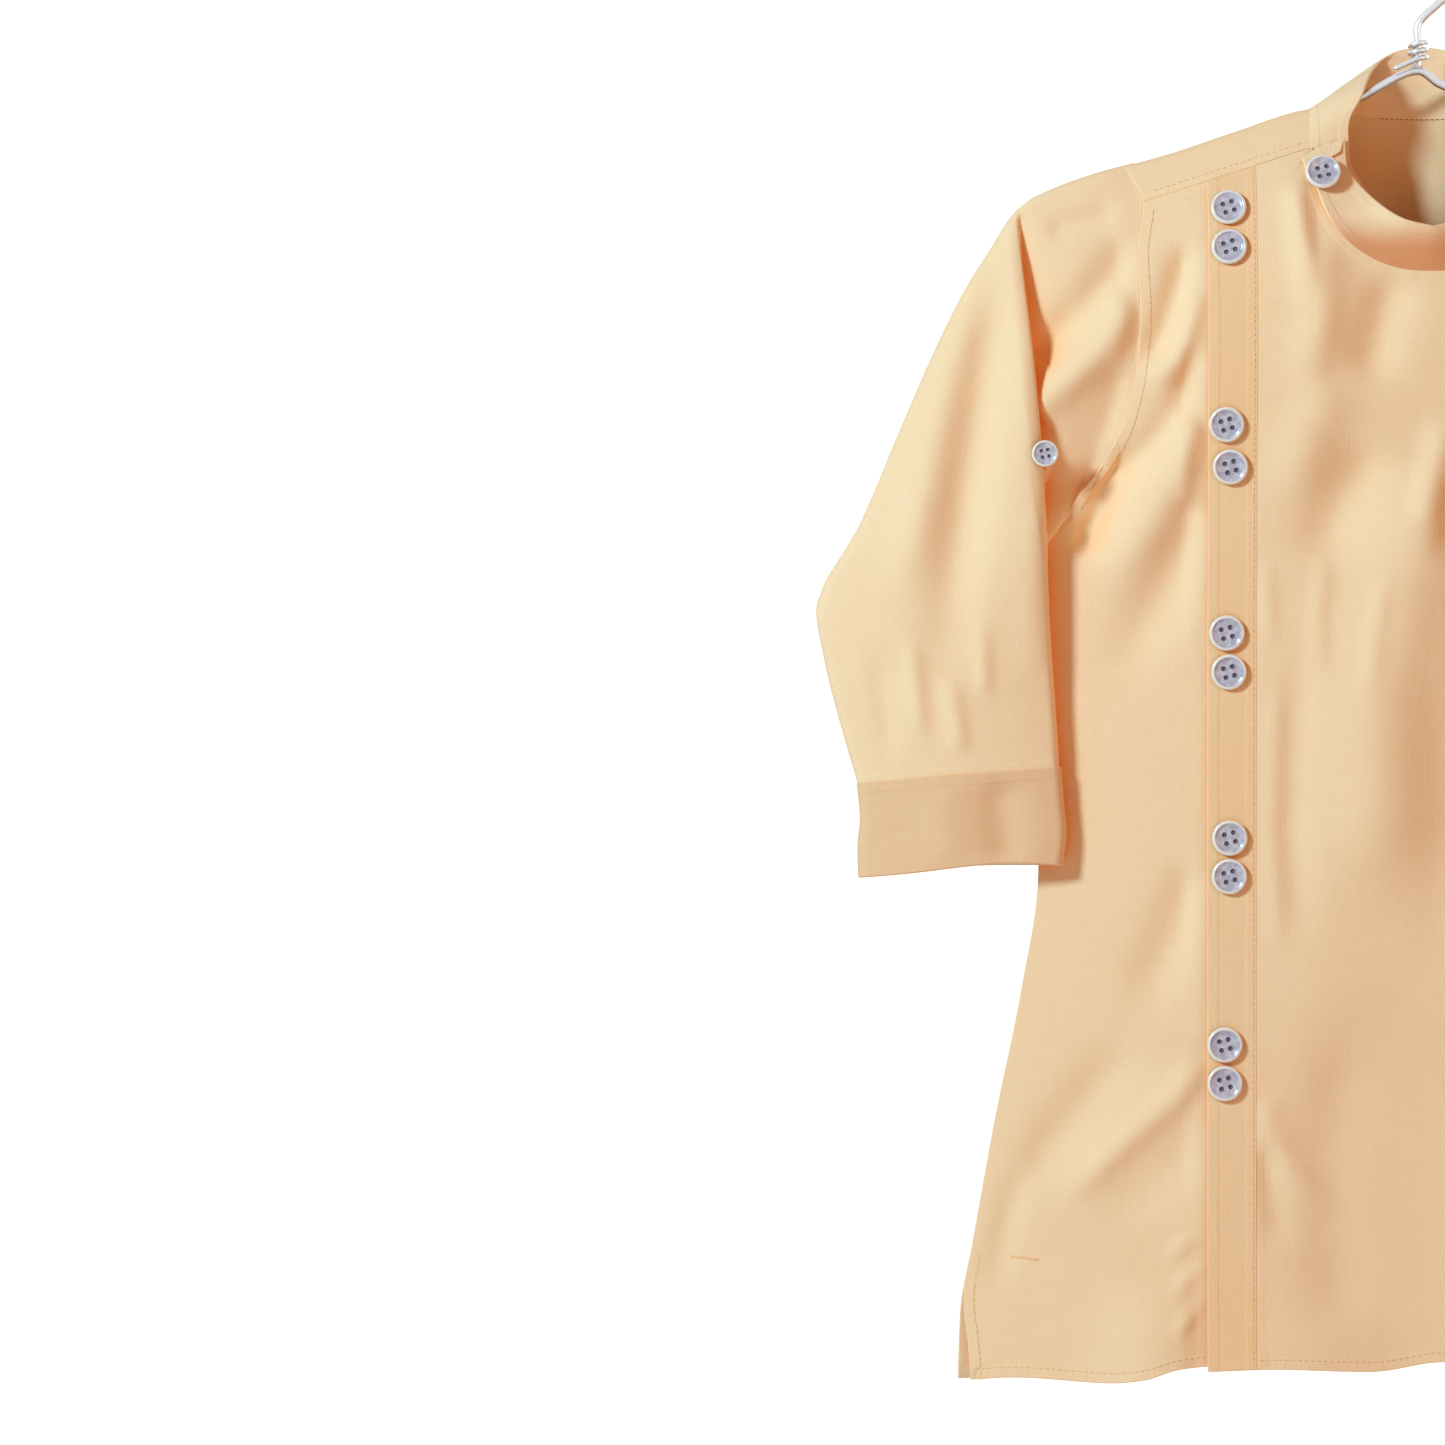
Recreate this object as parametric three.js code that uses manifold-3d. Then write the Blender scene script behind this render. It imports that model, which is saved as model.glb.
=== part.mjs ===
// A child's kurta hanging on a wire hanger, in millimetres with +Z up.
// The origin is the inside top of the hook. The front faces -Y, and the wearer's right side is -X.
import * as THREE from 'three';
import { mergeVertices } from 'three/addons/utils/BufferGeometryUtils.js';
import Module from 'manifold-3d';

// Sizes of the cloth and how its pieces meet
const cloth = { wall: 1.2, cuffWall: 1.6 };
const gap = { seam: 0.45, lap: 0.7, armhole: 0.95, underarm: 1.9, collar: 1, button: 0.45 };

// Sizes of the cut
const neck = { halfWidth: 49, frontTop: -95, frontDrop: 52, squareness: 2.25, backDip: 2 };
const placket = { edge: -93, band: 20, hemRise: 2, foldFade: 23 };
// The over panel's lift off the plain front, from its full height to nothing
const overLift = { fullX: -55, endX: -10 };
const slit = { top: -568, length: 45, step: 5 };
const yokeSeam = { neckZ: -95, slope: 0.3187, endZ: -117.5 };
const body = { shoulderEnd: 126.4, underarmZ: -248, hemZ: -613.5, hemHalf: 197.5 };
const underarm = new THREE.Vector3(-154.2, 0, -252.2);
const underarmEase = { from: -225, to: -244 };

// Sizes of the hard pieces
const wire = { radius: 1.8, twistRadius: 1.1, underCloth: 1.35, sides: 8, twistSides: 6 };
const hook = { radius: 16, apexX: -3.4, apexZ: -61.5, stemGap: 0.6 };
const wireTie = { turns: 2.5, foot: -56.5, rise: 8, steps: 20 };
// Places along one arm and how much further below the shoulder cloth the wire lies there
const armWire = [[157, 1], [145, 0.4], [126.4, 0], [102, 0], [84.3, 0], [66.7, 0], [54, 0]];
const neckWire = [[-44, -79.9], [-27.7, -72.6], [hook.apexX, hook.apexZ], [6, -67.2], [27, -74.4], [44, -80]];
const hookStem = [-50, -42];
const hookTurns = [-73, -27, 27, 80, 133, 187];
const wireTail = [[-13, -60.6], [-8.5, -58.6]];
const bigButton = { radius: 7.5, height: 2.6, holeRadius: 1.05, holeAt: 2.7 };
const smallButton = { radius: 5.6, height: 2.2, holeRadius: 0.8, holeAt: 1.95 };
const buttonTurn = 0.2;
// Section of a button as shares of its radius and height
const buttonOutline = [[0, 0], [0.76, 0], [1, 0.45], [0.97, 0.9], [0.86, 1], [0.74, 0.78], [0, 0.7]];

// How finely each piece is drawn
const mesh = { neckSteps: 10, yokeSteps: 4, bandSteps: 2, underSteps: 6, sideRows: 22 };
const round = { buttonSides: 16, holeSides: 6, armSteps: 44, hookSteps: 26, twistSteps: 44 };
const armholeRows = [0, 0.13, 0.27, 0.41, 0.55, 0.68, 0.8, 0.9, 0.97, 1];

const colour = { cloth: 0xe8bf93, shade: 0xd9a97a, button: 0xc9c9dc, metal: 0xbfc1c4 };

// Outlines seen from the front; each left side mirrors the right one
const shoulderLine = [[0, -73], [49, -77.8], [83, -88.3], [107, -96.4], [126.4, -101.8], [145, -106.4], [163, -113.1],
  [174, -121.9]];
const armholeLine = [[-248, 151.5], [-238, 144.5], [-226, 135.5], [-209, 127.5], [-188, 123], [-165, 121.2],
  [-140, 122.3], [-117.5, 119.7], [-101.8, 126.4]];
const sideLine = [[-613.5, 197.5], [-585, 196.5], [-557, 191.5], [-502, 181.5], [-451, 171], [-400, 162.5],
  [-325, 156], [-248, 151.5]];
// Half width that the chest and shoulders swell across
const chestLine = [[-248, 152], [-120, 173], [-60, 183]];
const overHem = [[-93, -609], [-66, -608.1], [-23.5, -609.4], [6, -605.5], [60, -608], [130, -612], [197.5, -613.5]];
const underHem = [[-197.5, -613.5], [-174, -612], [-134, -614], [-121, -612.7], [-105, -608.1], [-93, -607]];
const backHem = [[-197.5, -613], [-100, -606], [0, -603], [100, -606], [197.5, -613]];

// How far the cloth stands out from the hanger's plane, by height
const frontBelly = [[-613, 13], [-400, 14], [-250, 17], [-147, 26], [-60, 27]];
const backBelly = [[-613, 10], [-400, 11], [-250, 13], [-147, 15], [-60, 15]];
const edgeRound = [[-613, 2.2], [-568, 0.9], [-300, 0.9], [-248, 2], [-150, 3.3], [-60, 3.3]];
const backNeck = { bulge: 14, top: -77, spread: 0.7, power: 1.5, fade: 55 };
const swelling = { rise: 40, power: 2.2, foldShare: 0.25, foldTop: 8, foldFull: 40 };

// The largest folds: a soft ridge, or a trough where out is below zero, between two ends
const underFolds = [
  { fromX: -97, fromZ: -208, toX: -147, toZ: -268, width: 12, out: 4 },
  { fromX: -96, fromZ: -222, toX: -130, toZ: -296, width: 12, out: -4 },
  { fromX: -102, fromZ: -126, toX: -116, toZ: -180, width: 9, out: -3 },
  { fromX: -101, fromZ: -392, toX: -128, toZ: -440, width: 13, out: -3.5 },
  { fromX: -94, fromZ: -472, toX: -168, toZ: -533, width: 11, out: 5 },
  { fromX: -94, fromZ: -488, toX: -148, toZ: -538, width: 11, out: -4 },
];
const overFolds = [
  { fromX: -54, fromZ: -112, toX: -40, toZ: -190, width: 9, out: -3 },
  { fromX: -46, fromZ: -310, toX: -46, toZ: -440, width: 20, out: 3 },
  { fromX: 2, fromZ: -205, toX: -14, toZ: -250, width: 10, out: 3 },
  { fromX: 75, fromZ: -180, toX: 120, toZ: -300, width: 14, out: 4 },
  { fromX: 60, fromZ: -380, toX: 110, toZ: -520, width: 16, out: -4 },
];
const backFolds = [
  { fromX: -60, fromZ: -130, toX: -110, toZ: -290, width: 15, out: 4 },
  { fromX: 50, fromZ: -150, toX: 105, toZ: -320, width: 15, out: -4 },
  { fromX: -20, fromZ: -330, toX: -75, toZ: -560, width: 18, out: -4 },
  { fromX: 30, fromZ: -360, toX: 85, toZ: -590, width: 18, out: 4 },
];
const sleeveFolds = [
  { fromX: -190, fromZ: -170, toX: -207, toZ: -268, width: 10, out: -3 },
  { fromX: -216, fromZ: -285, toX: -208, toZ: -345, width: 9, out: -2.5 },
  { fromX: -128, fromZ: -130, toX: -158, toZ: -195, width: 9, out: 3 },
];

const sleeveBackFolds = [
  { fromX: -150, fromZ: -150, toX: -180, toZ: -250, width: 13, out: 3 },
  { fromX: -200, fromZ: -210, toX: -215, toZ: -320, width: 12, out: -3 },
];

// Rings of the wearer's right sleeve after the armhole. Top and foot are the ring's ends seen from
// the front, bow and turn bend the line between them, and front, back and footY are its depths.
const named = (columns) => (row) => Object.fromEntries(columns.map((column, k) => [column, row[k]]));
const ringColumns = ['name', 'topX', 'topZ', 'footX', 'footZ', 'bow', 'turn', 'bowBack', 'front', 'back', 'footY'];
const sleeveRings = [
  ['cap', -139, -104.8, -154.5, -254, 13, 0, 13, 12, 10, 0],
  ['head', -153, -109.6, -156, -256.5, 8.5, 1, 9, 11, 10, -1],
  ['lip', -167, -115.9, -157.5, -258, 2.5, 2, 4, 7.5, 10, -2],
  ['valley', -171.5, -119.4, -160, -261, -4, 0, 3, 1.5, 10.5, -3],
  ['under', -173, -120.7, -160.5, -264.5, -0.5, 0, 1, 7.5, 11, -5],
  ['edge', -174.2, -122.1, -160.6, -268.5, 1.8, 0, -1, 12, 11, -7],
  ['face', -176.5, -124.8, -160.6, -273, -2, 0, -2, 14, 11, -8.5],
  ['arm1', -183, -135.5, -160.4, -280, -1, 0, -1, 13.5, 10.5, -9],
  ['arm2', -194, -153, -160.1, -288, 0, 0, 0, 13, 10, -9],
  ['arm3', -208, -181, -159.6, -297, 0, 0, 0, 12.5, 10, -9],
  ['arm4', -223, -215.5, -159, -307, 0, 0, 0, 12, 9.5, -9],
  ['arm5', -239.5, -254, -158.3, -317, 0, 0, 0, 11.5, 9.5, -9],
  ['elbow', -254.5, -279.5, -157.6, -327, 0, 0, 0, 11, 9, -9],
  ['forearm1', -257.3, -290, -157, -335.5, 0, 0, 0, 10.5, 9, -9],
  ['forearm2', -253.5, -312, -156.5, -343, 0, 0, 0, 10, 8.5, -9],
  ['forearm3', -247, -337.6, -156.1, -350, 0, 0, 0, 9, 8, -9],
  ['wrist', -239.4, -363.3, -155.9, -356.6, 0, 0, 0, 8, 7, -9],
].map(named(ringColumns));
const cuffRings = [
  ['seam', -239.2, -363.9, -155.7, -357.2, 0, 0, 0, 8.2, 7.2, -9],
  ['upper', -238.6, -377, -154.2, -369, 0, 0, 0, 8.4, 7.4, -9],
  ['lower', -239.6, -389, -153, -382, 0.5, 0, 0, 8.6, 7.6, -9],
  ['hem', -239.4, -401.5, -154.4, -396.3, 2, -0.8, 2, 8.8, 7.8, -9],
].map(named(ringColumns));
const sleeveRound = { ends: 3.3, power: 0.8 };

// Sections of the stand collar on the wearer's right, from the back centre to the front centre.
// at is the place on the neck seam: below 1 the back, to 2 the shoulder strip, to 3 the front.
const collarRows = [
  { name: 'back', at: 0, rim: [0, 19, -52.3] },
  { name: 'back1', at: 0.4, rim: [-9, 18.5, -53.3] },
  { name: 'back2', at: 0.8, rim: [-17.5, 14.5, -56.8] },
  { name: 'side', at: 1, rim: [-24, 2, -63.5] },
  { name: 'side1', at: 1.25, rim: [-27.5, -6, -71.5] },
  { name: 'side2', at: 2, rim: [-34, -10.5, -88] },
  { name: 'front1', at: 2.2, rim: [-34, -12.5, -99] },
  { name: 'front2', at: 2.4, rim: [-29.6, -16, -110] },
  { name: 'front3', at: 2.6, rim: [-21.8, -20, -119.6] },
  { name: 'front4', at: 2.8, rim: [-11.6, -25.5, -126.4] },
  { name: 'front', at: 3, rim: [0, -28, -129.4] },
];
// The collar's outer end passes over the shoulder seam as a tab
const lap = { inward: 1.9, outward: 1.9, startAt: 1.2, outerFrom: 2.2, underEnd: 2.61, rimDrop: 2.4, tabLift: 3.8 };
const collarTab = [
  { seam: [-51, -106.5], rim: [-38.5, -97.5] },
  { seam: [-53.5, -99.8], rim: [-41.5, -92.8] },
];

const buttonRows = [
  { name: 'button_1a', x: -84.6, z: -120.7 }, { name: 'button_1b', x: -84.6, z: -137.3 },
  { name: 'button_2a', x: -85.7, z: -211.6 }, { name: 'button_2b', x: -84, z: -229.3 },
  { name: 'button_3a', x: -85.3, z: -299 }, { name: 'button_3b', x: -84.4, z: -315.4 },
  { name: 'button_4a', x: -84, z: -385.1 }, { name: 'button_4b', x: -84.2, z: -401.3 },
  { name: 'button_5a', x: -86.1, z: -472 }, { name: 'button_5b', x: -86.1, z: -488.2 },
];
const collarButton = { x: -45.4, z: -106.2, stand: 1.1 };
const sleeveButton = { x: 161.9, z: -223.8, y: -19 };

const kurta = new THREE.Group();
const wasm = await Module();
wasm.setup();

// Reads a table of [place, value] rows, with a smooth curve between them
function read(table, place) {
  const up = table[0][0] < table[table.length - 1][0];
  const rows = up ? table : [...table].reverse();
  const last = rows.length - 1;
  const at = Math.min(Math.max(place, rows[0][0]), rows[last][0]);
  let k = 0;
  while (k < last - 1 && at > rows[k + 1][0]) k += 1;
  const slope = (a, b) => (rows[b][1] - rows[a][1]) / (rows[b][0] - rows[a][0]);
  const step = rows[k + 1][0] - rows[k][0];
  const level = (a, b) => (a * b > 0 ? (2 * a * b) / (a + b) : 0);
  const m0 = k > 0 ? level(slope(k - 1, k), slope(k, k + 1)) : slope(k, k + 1);
  const m1 = k < last - 1 ? level(slope(k, k + 1), slope(k + 1, k + 2)) : slope(k, k + 1);
  const t = (at - rows[k][0]) / step;
  const t2 = t * t;
  const t3 = t2 * t;
  return (2 * t3 - 3 * t2 + 1) * rows[k][1] + (t3 - 2 * t2 + t) * step * m0
    + (3 * t2 - 2 * t3) * rows[k + 1][1] + (t3 - t2) * step * m1;
}

const mix = (a, b, t) => a + (b - a) * t;
function smooth(from, to, v) {
  const t = Math.min(Math.max((v - from) / (to - from), 0), 1);
  return t * t * (3 - 2 * t);
}
const roundEnd = (radius, d) => radius * Math.sqrt(1 - (1 - Math.min(Math.max(d, 0) / radius, 1)) ** 2);

const shoulderZ = (x) => read(shoulderLine, Math.abs(x));
const seamZ = (x) => yokeSeam.neckZ - (Math.abs(x) - neck.halfWidth) * yokeSeam.slope;
const bodyEdge = (z) => (z > body.underarmZ ? read(chestLine, z) : read(sideLine, z));

// Height of the soft folds at a place on the front or back
function foldOut(folds, x, z) {
  let out = 0;
  for (const f of folds) {
    const run = Math.hypot(f.toX - f.fromX, f.toZ - f.fromZ);
    const ux = (f.toX - f.fromX) / run;
    const uz = (f.toZ - f.fromZ) / run;
    const t = ((x - f.fromX) * ux + (z - f.fromZ) * uz) / run;
    const d = (x - f.fromX) * uz - (z - f.fromZ) * ux;
    const ends = smooth(-0.25, 0.2, t) * (1 - smooth(0.7, 1.25, t));
    out += f.out * ends * Math.exp(-((d / f.width) ** 2));
  }
  return out;
}

// Half depth of the body, from the hanger's plane to the middle of the cloth
function bodyDepth(x, z, belly, fold) {
  const drop = Math.max(0, shoulderZ(x) - z);
  const corner = read(edgeRound, z);
  const rise = 1 - Math.exp(-Math.max(0, drop - corner) / swelling.rise);
  const swell = Math.max(0, 1 - (Math.abs(x) / bodyEdge(z)) ** swelling.power);
  const near = smooth(0, swelling.foldShare, swell) * smooth(swelling.foldTop, swelling.foldFull, drop);
  return roundEnd(corner, drop) + read(belly, z) * rise * swell + near * fold;
}

// Folds of the under panel start at the placket's edge, folds of the over panel past its band
const underShare = (x) => 1 - smooth(placket.edge - placket.foldFade, placket.edge, x);
const overShare = (x) => smooth(placket.edge + placket.band, placket.edge + placket.band + placket.foldFade, x);

function frontY(x, z) {
  const fold = foldOut(underFolds, x, z) * underShare(x) + foldOut(overFolds, x, z) * overShare(x);
  return -bodyDepth(x, z, frontBelly, fold);
}

function backY(x, z) {
  const below = Math.max(0, backNeck.top - z);
  const across = Math.max(0, 1 - (x / (neck.halfWidth + backNeck.spread * below)) ** 2);
  const bulge = backNeck.bulge * across ** backNeck.power * Math.exp(-below / backNeck.fade);
  return bodyDepth(x, z, backBelly, foldOut(backFolds, x, z)) + bulge;
}

// The over panel lies on the under panel near the placket and joins the plain front past the neck
const layer = cloth.wall + gap.lap;
const overY = (x, z) => frontY(x, z) - layer * (1 - smooth(overLift.fullX, overLift.endX, x));

// Front neck line: 0 at the wearer's right shoulder seam, 1 at the left one
function frontNeck(t) {
  const c = Math.cos(t * Math.PI);
  const s = Math.sin(t * Math.PI);
  const power = 2 / neck.squareness;
  const x = -neck.halfWidth * Math.sign(c) * Math.abs(c) ** power;
  return [x, neck.frontTop - neck.frontDrop * Math.abs(s) ** power];
}

const backNeckZ = (x) => shoulderZ(neck.halfWidth) - neck.backDip * (1 - (x / neck.halfWidth) ** 2);

// Places down the wearer's left edge, from the seam to the hem; the last of the armhole is the underarm
function edgePlaces() {
  const places = armholeRows.map((t) => {
    const z = mix(yokeSeam.endZ, body.underarmZ, t);
    return [read(armholeLine, z), z];
  });
  for (let k = 1; k <= mesh.sideRows; k += 1) {
    const z = mix(body.underarmZ, body.hemZ, k / mesh.sideRows);
    places.push([read(sideLine, z), z]);
  }
  return places;
}

const slitStep = (z) => slit.step * smooth(0, slit.length, slit.top - z);

// Fills a four-sided outline, given as lists of [x, z] along its sides
function fill(top, bottom, left, right, across, down) {
  const last = top.length - 1;
  const corner = [top[0], top[last], bottom[0], bottom[last]];
  return down.map((v, j) => across.map((u, i) => [0, 1].map((k) => mix(top[i][k], bottom[i][k], v)
    + mix(left[j][k], right[j][k], u)
    - mix(mix(corner[0][k], corner[1][k], u), mix(corner[2][k], corner[3][k], u), v))));
}

const even = (n) => Array.from({ length: n + 1 }, (_, i) => i / n);

// A closed wall of the given thickness round a net of points. Squares that keep refuses are left out.
function wall(net, thickness, { tubular = false, keep = () => true } = {}) {
  const rows = net.length;
  const cols = net[0].length;
  const squares = [];
  for (let j = 0; j < rows - 1; j += 1) {
    for (let i = 0; i < (tubular ? cols : cols - 1); i += 1) {
      const next = (i + 1) % cols;
      if (keep(j, i)) squares.push([j * cols + i, j * cols + next, (j + 1) * cols + next, (j + 1) * cols + i]);
    }
  }
  const flat = net.flat();
  const normals = flat.map(() => new THREE.Vector3());
  for (const [a, b, c, d] of squares) {
    const normal = new THREE.Vector3().crossVectors(flat[c].clone().sub(flat[a]), flat[d].clone().sub(flat[b]));
    for (const k of [a, b, c, d]) normals[k].add(normal);
  }
  const used = [...new Set(squares.flat())];
  const index = new Map(used.map((k, n) => [k, n]));
  const places = [];
  for (const side of [0.5, -0.5]) {
    for (const k of used) places.push(flat[k].clone().addScaledVector(normals[k].clone().normalize(), side * thickness));
  }
  const faces = [];
  const borders = new Set();
  const square = (a, b, c, d) => faces.push(a, b, c, a, c, d);
  for (const s of squares) {
    const [a, b, c, d] = s.map((k) => index.get(k));
    square(a, b, c, d);
    square(a + used.length, d + used.length, c + used.length, b + used.length);
    for (const [p, q] of [[a, b], [b, c], [c, d], [d, a]]) borders.add(`${p},${q}`);
  }
  for (const border of borders) {
    const [p, q] = border.split(',').map(Number);
    if (!borders.has(`${q},${p}`)) square(q, p, p + used.length, q + used.length);
  }
  return bodyOf(places.flatMap((p) => [p.x, p.y, p.z]), faces);
}

// Geometry from plain lists, turned so that its faces point out
function bodyOf(places, faces) {
  const at = (k) => new THREE.Vector3(places[3 * k], places[3 * k + 1], places[3 * k + 2]);
  let volume = 0;
  for (let k = 0; k < faces.length; k += 3) volume += at(faces[k]).dot(at(faces[k + 1]).cross(at(faces[k + 2])));
  const turned = [...faces];
  if (volume < 0) for (let k = 0; k < turned.length; k += 3) [turned[k], turned[k + 1]] = [turned[k + 1], turned[k]];
  const geometry = new THREE.BufferGeometry();
  geometry.setAttribute('position', new THREE.Float32BufferAttribute(places, 3));
  geometry.setIndex(turned);
  geometry.computeVertexNormals();
  return geometry;
}

// The same body with shared corners merged and empty triangles dropped
function joined(geometry) {
  const plain = geometry.clone();
  plain.deleteAttribute('normal');
  plain.deleteAttribute('uv');
  const merged = mergeVertices(plain, 1e-3);
  const faces = [];
  const index = merged.index.array;
  for (let k = 0; k < index.length; k += 3) {
    const [a, b, c] = index.slice(k, k + 3);
    if (a !== b && b !== c && c !== a) faces.push(a, b, c);
  }
  return bodyOf([...merged.attributes.position.array], faces);
}

function addPiece(name, geometry, tint, roughness = 0.9, metalness = 0) {
  const material = new THREE.MeshStandardMaterial({ color: tint, roughness, metalness });
  const piece = new THREE.Mesh(geometry, material);
  piece.name = name;
  kurta.add(piece);
  return piece;
}

const edge = edgePlaces();
const rowsDown = edge.map(([, z]) => (z - yokeSeam.endZ) / (body.hemZ - yokeSeam.endZ));

// A straight column of the front, from the shoulder seam to a hem
const column = (x, hemRise = 0) => rowsDown.map((v, j) => {
  const rise = j === rowsDown.length - 1 ? hemRise : 0;
  return [x, mix(seamZ(x), read(overHem, x), v) + rise];
});

const bandColumns = even(mesh.bandSteps).map((t) => placket.edge + placket.band * t);

// Front over panel: the band's columns, then the main part out to the wearer's left side
function overNet() {
  const bandEdge = placket.edge + placket.band;
  const top = even(2).map((t) => mix(bandEdge, -neck.halfWidth, t)).map((x) => [x, seamZ(x)]);
  for (let k = 1; k <= mesh.neckSteps; k += 1) top.push(frontNeck(k / mesh.neckSteps));
  for (let k = 1; k <= mesh.yokeSteps; k += 1) {
    const x = mix(neck.halfWidth, edge[0][0], k / mesh.yokeSteps);
    top.push([x, seamZ(x)]);
  }
  const across = even(top.length - 1);
  const right = edge.map(([x, z]) => [x - slitStep(z), z]);
  const farX = right[right.length - 1][0];
  const bottom = across.map((u) => mix(bandEdge, farX, u)).map((x) => [x, read(overHem, x)]);
  const main = fill(top, bottom, column(bandEdge), right, across, rowsDown);
  const band = bandColumns.slice(0, -1).map((x) => column(x));
  return main.map((row, j) => [...band.map((c) => c[j]), ...row]);
}

// Front under panel: out to the placket's edge, then on beneath the band
function underNet() {
  const across = even(mesh.underSteps);
  const left = edge.map(([x, z]) => [-x + slitStep(z), z]);
  const nearX = left[left.length - 1][0];
  const hidden = bandColumns.map((x) => column(x, placket.hemRise));
  const top = across.map((u) => mix(-edge[0][0], placket.edge, u)).map((x) => [x, seamZ(x)]);
  const bottom = across.map((u) => mix(nearX, placket.edge, u)).map((x) => [x, read(underHem, x)]);
  const main = fill(top, bottom, left, hidden[0], across, rowsDown);
  return main.map((row, j) => [...row, ...hidden.slice(1).map((c) => c[j])]);
}

// Rows of the strip over the shoulder: how far below the shoulder line, and on which side
const stripRows = [{ side: -1, part: 1 }, { side: -1, part: 0.5 }, { side: -1, part: 0.08 }, { side: 0, part: 0 }];

function stripPoint(x, row, drop) {
  const z = shoulderZ(x) - drop * row.part;
  if (row.side === 0) return new THREE.Vector3(x, 0, z);
  return new THREE.Vector3(x, row.side < 0 ? frontY(x, z) : backY(x, z), z);
}

const seamDrop = (x) => shoulderZ(x) - seamZ(x) - gap.seam;
const stripEnd = (row) => read(armholeLine, shoulderZ(edge[0][0]) - seamDrop(edge[0][0]) * row.part);

const armholeTopZ = shoulderZ(body.shoulderEnd);
const backStripZ = [0, 0.08, 0.5].map((part) => mix(armholeTopZ, edge[0][1], part));

const edgeX = (z) => (z > body.underarmZ ? read(armholeLine, z) : read(sideLine, z));

function backColumns() {
  const columns = [];
  for (let k = 0; k < mesh.yokeSteps; k += 1) columns.push(mix(-edge[0][0], -neck.halfWidth, k / mesh.yokeSteps));
  for (let k = 0; k < mesh.neckSteps; k += 1) columns.push(-neck.halfWidth * Math.cos((k / mesh.neckSteps) * Math.PI));
  for (let k = 0; k <= mesh.yokeSteps; k += 1) columns.push(mix(neck.halfWidth, edge[0][0], k / mesh.yokeSteps));
  return columns;
}

// Back panel, whose shoulders come over the wire to the front seam
function backPanel() {
  const columns = backColumns();
  const inNeck = (x) => Math.abs(x) < neck.halfWidth - 0.01;
  const strip = stripRows.map((row) => columns.map((x) => {
    const t = Math.max(0, (Math.abs(x) - neck.halfWidth) / (edge[0][0] - neck.halfWidth));
    const wide = Math.sign(x) * mix(Math.abs(x), stripEnd(row), t);
    return stripPoint(wide, row, seamDrop(wide));
  }));
  const down = edge.map(([, z]) => z);
  const ridge = strip[strip.length - 1];
  const topRow = columns.map((x, i) => (inNeck(x) ? [x, backNeckZ(x)] : [ridge[i].x, ridge[i].z]));
  const sideZ = [...backStripZ, ...down];
  const sideOf = (sign) => sideZ.map((z) => [sign * edgeX(z), z]);
  const total = sideZ[sideZ.length - 1] - sideZ[0];
  const rows = sideZ.map((z) => (z - sideZ[0]) / total);
  const across = even(columns.length - 1);
  const bottom = across.map((u) => mix(-body.hemHalf, body.hemHalf, u)).map((x) => [x, read(backHem, x)]);
  const flat = fill(topRow, bottom, sideOf(-1), sideOf(1), across, rows);
  const back = flat.map((row, j) => row.map(([x, z], i) => {
    const onWire = j === 0 && !inNeck(columns[i]);
    return new THREE.Vector3(x, onWire ? 0 : backY(x, z), z);
  }));
  const net = [...strip.slice(0, -1), ...back];
  const keep = (j, i) => j >= strip.length - 1 || (!inNeck(columns[i]) && !inNeck(columns[i + 1])
    && Math.sign(columns[i]) === Math.sign(columns[i + 1]));
  return wall(net, cloth.wall, { keep });
}

// Places round the wearer's right armhole: over the shoulder, down the front, and up the back
const armholeFront = [...[...stripRows].reverse().map((row) => stripPoint(-stripEnd(row), row, seamDrop(stripEnd(row)))),
  ...edge.slice(1, armholeRows.length).map(([x, z]) => new THREE.Vector3(-x, frontY(-x, z), z))];
const armholeBack = [...backStripZ.slice(1), ...edge.slice(0, armholeRows.length).map(([, z]) => z)]
  .map((z) => new THREE.Vector3(-read(armholeLine, z), backY(-read(armholeLine, z), z), z));
const ringShares = armholeFront.map((p) => (armholeTopZ - p.z) / (armholeTopZ - underarm.z));

// The sleeve's first ring lies a seam's gap outside the armhole
function armholeRing() {
  const shift = (before, after) => {
    const away = new THREE.Vector3(after.z - before.z, 0, before.x - after.x).normalize();
    const apart = mix(gap.armhole, gap.underarm, smooth(underarmEase.from, underarmEase.to, before.z));
    return away.multiplyScalar(apart * (away.x > 0 ? -1 : 1));
  };
  const along = new THREE.Vector3(-1, 0, -yokeSeam.slope).normalize().multiplyScalar(gap.armhole);
  const moved = (line) => line.map((p, k) => {
    const overShoulder = k < stripRows.length - 1;
    return p.clone().add(overShoulder ? along : shift(line[k - 1], line[k + 1] ?? underarm));
  });
  return [...moved(armholeFront), underarm, ...moved(armholeBack).reverse()];
}

// A place on a sleeve's ring, at a share of the way from its top to its foot
function ringPoint(ring, share, side) {
  const runX = ring.footX - ring.topX;
  const runZ = ring.footZ - ring.topZ;
  const length = Math.hypot(runX, runZ);
  const arc = Math.sin(share * Math.PI);
  const bend = side < 0 ? ring.bow * arc + ring.turn * Math.sin(2 * share * Math.PI) : ring.bowBack * arc;
  const x = ring.topX + runX * share - (runZ / length) * bend;
  const z = ring.topZ + runZ * share + (runX / length) * bend;
  const end = roundEnd(sleeveRound.ends, Math.min(share, 1 - share) * length);
  const full = (side < 0 ? ring.front : ring.back) - sleeveRound.ends;
  const fold = foldOut(side < 0 ? sleeveFolds : sleeveBackFolds, x, z) * arc;
  return new THREE.Vector3(x, ring.footY * share + side * (end + full * arc ** sleeveRound.power + fold), z);
}

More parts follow.
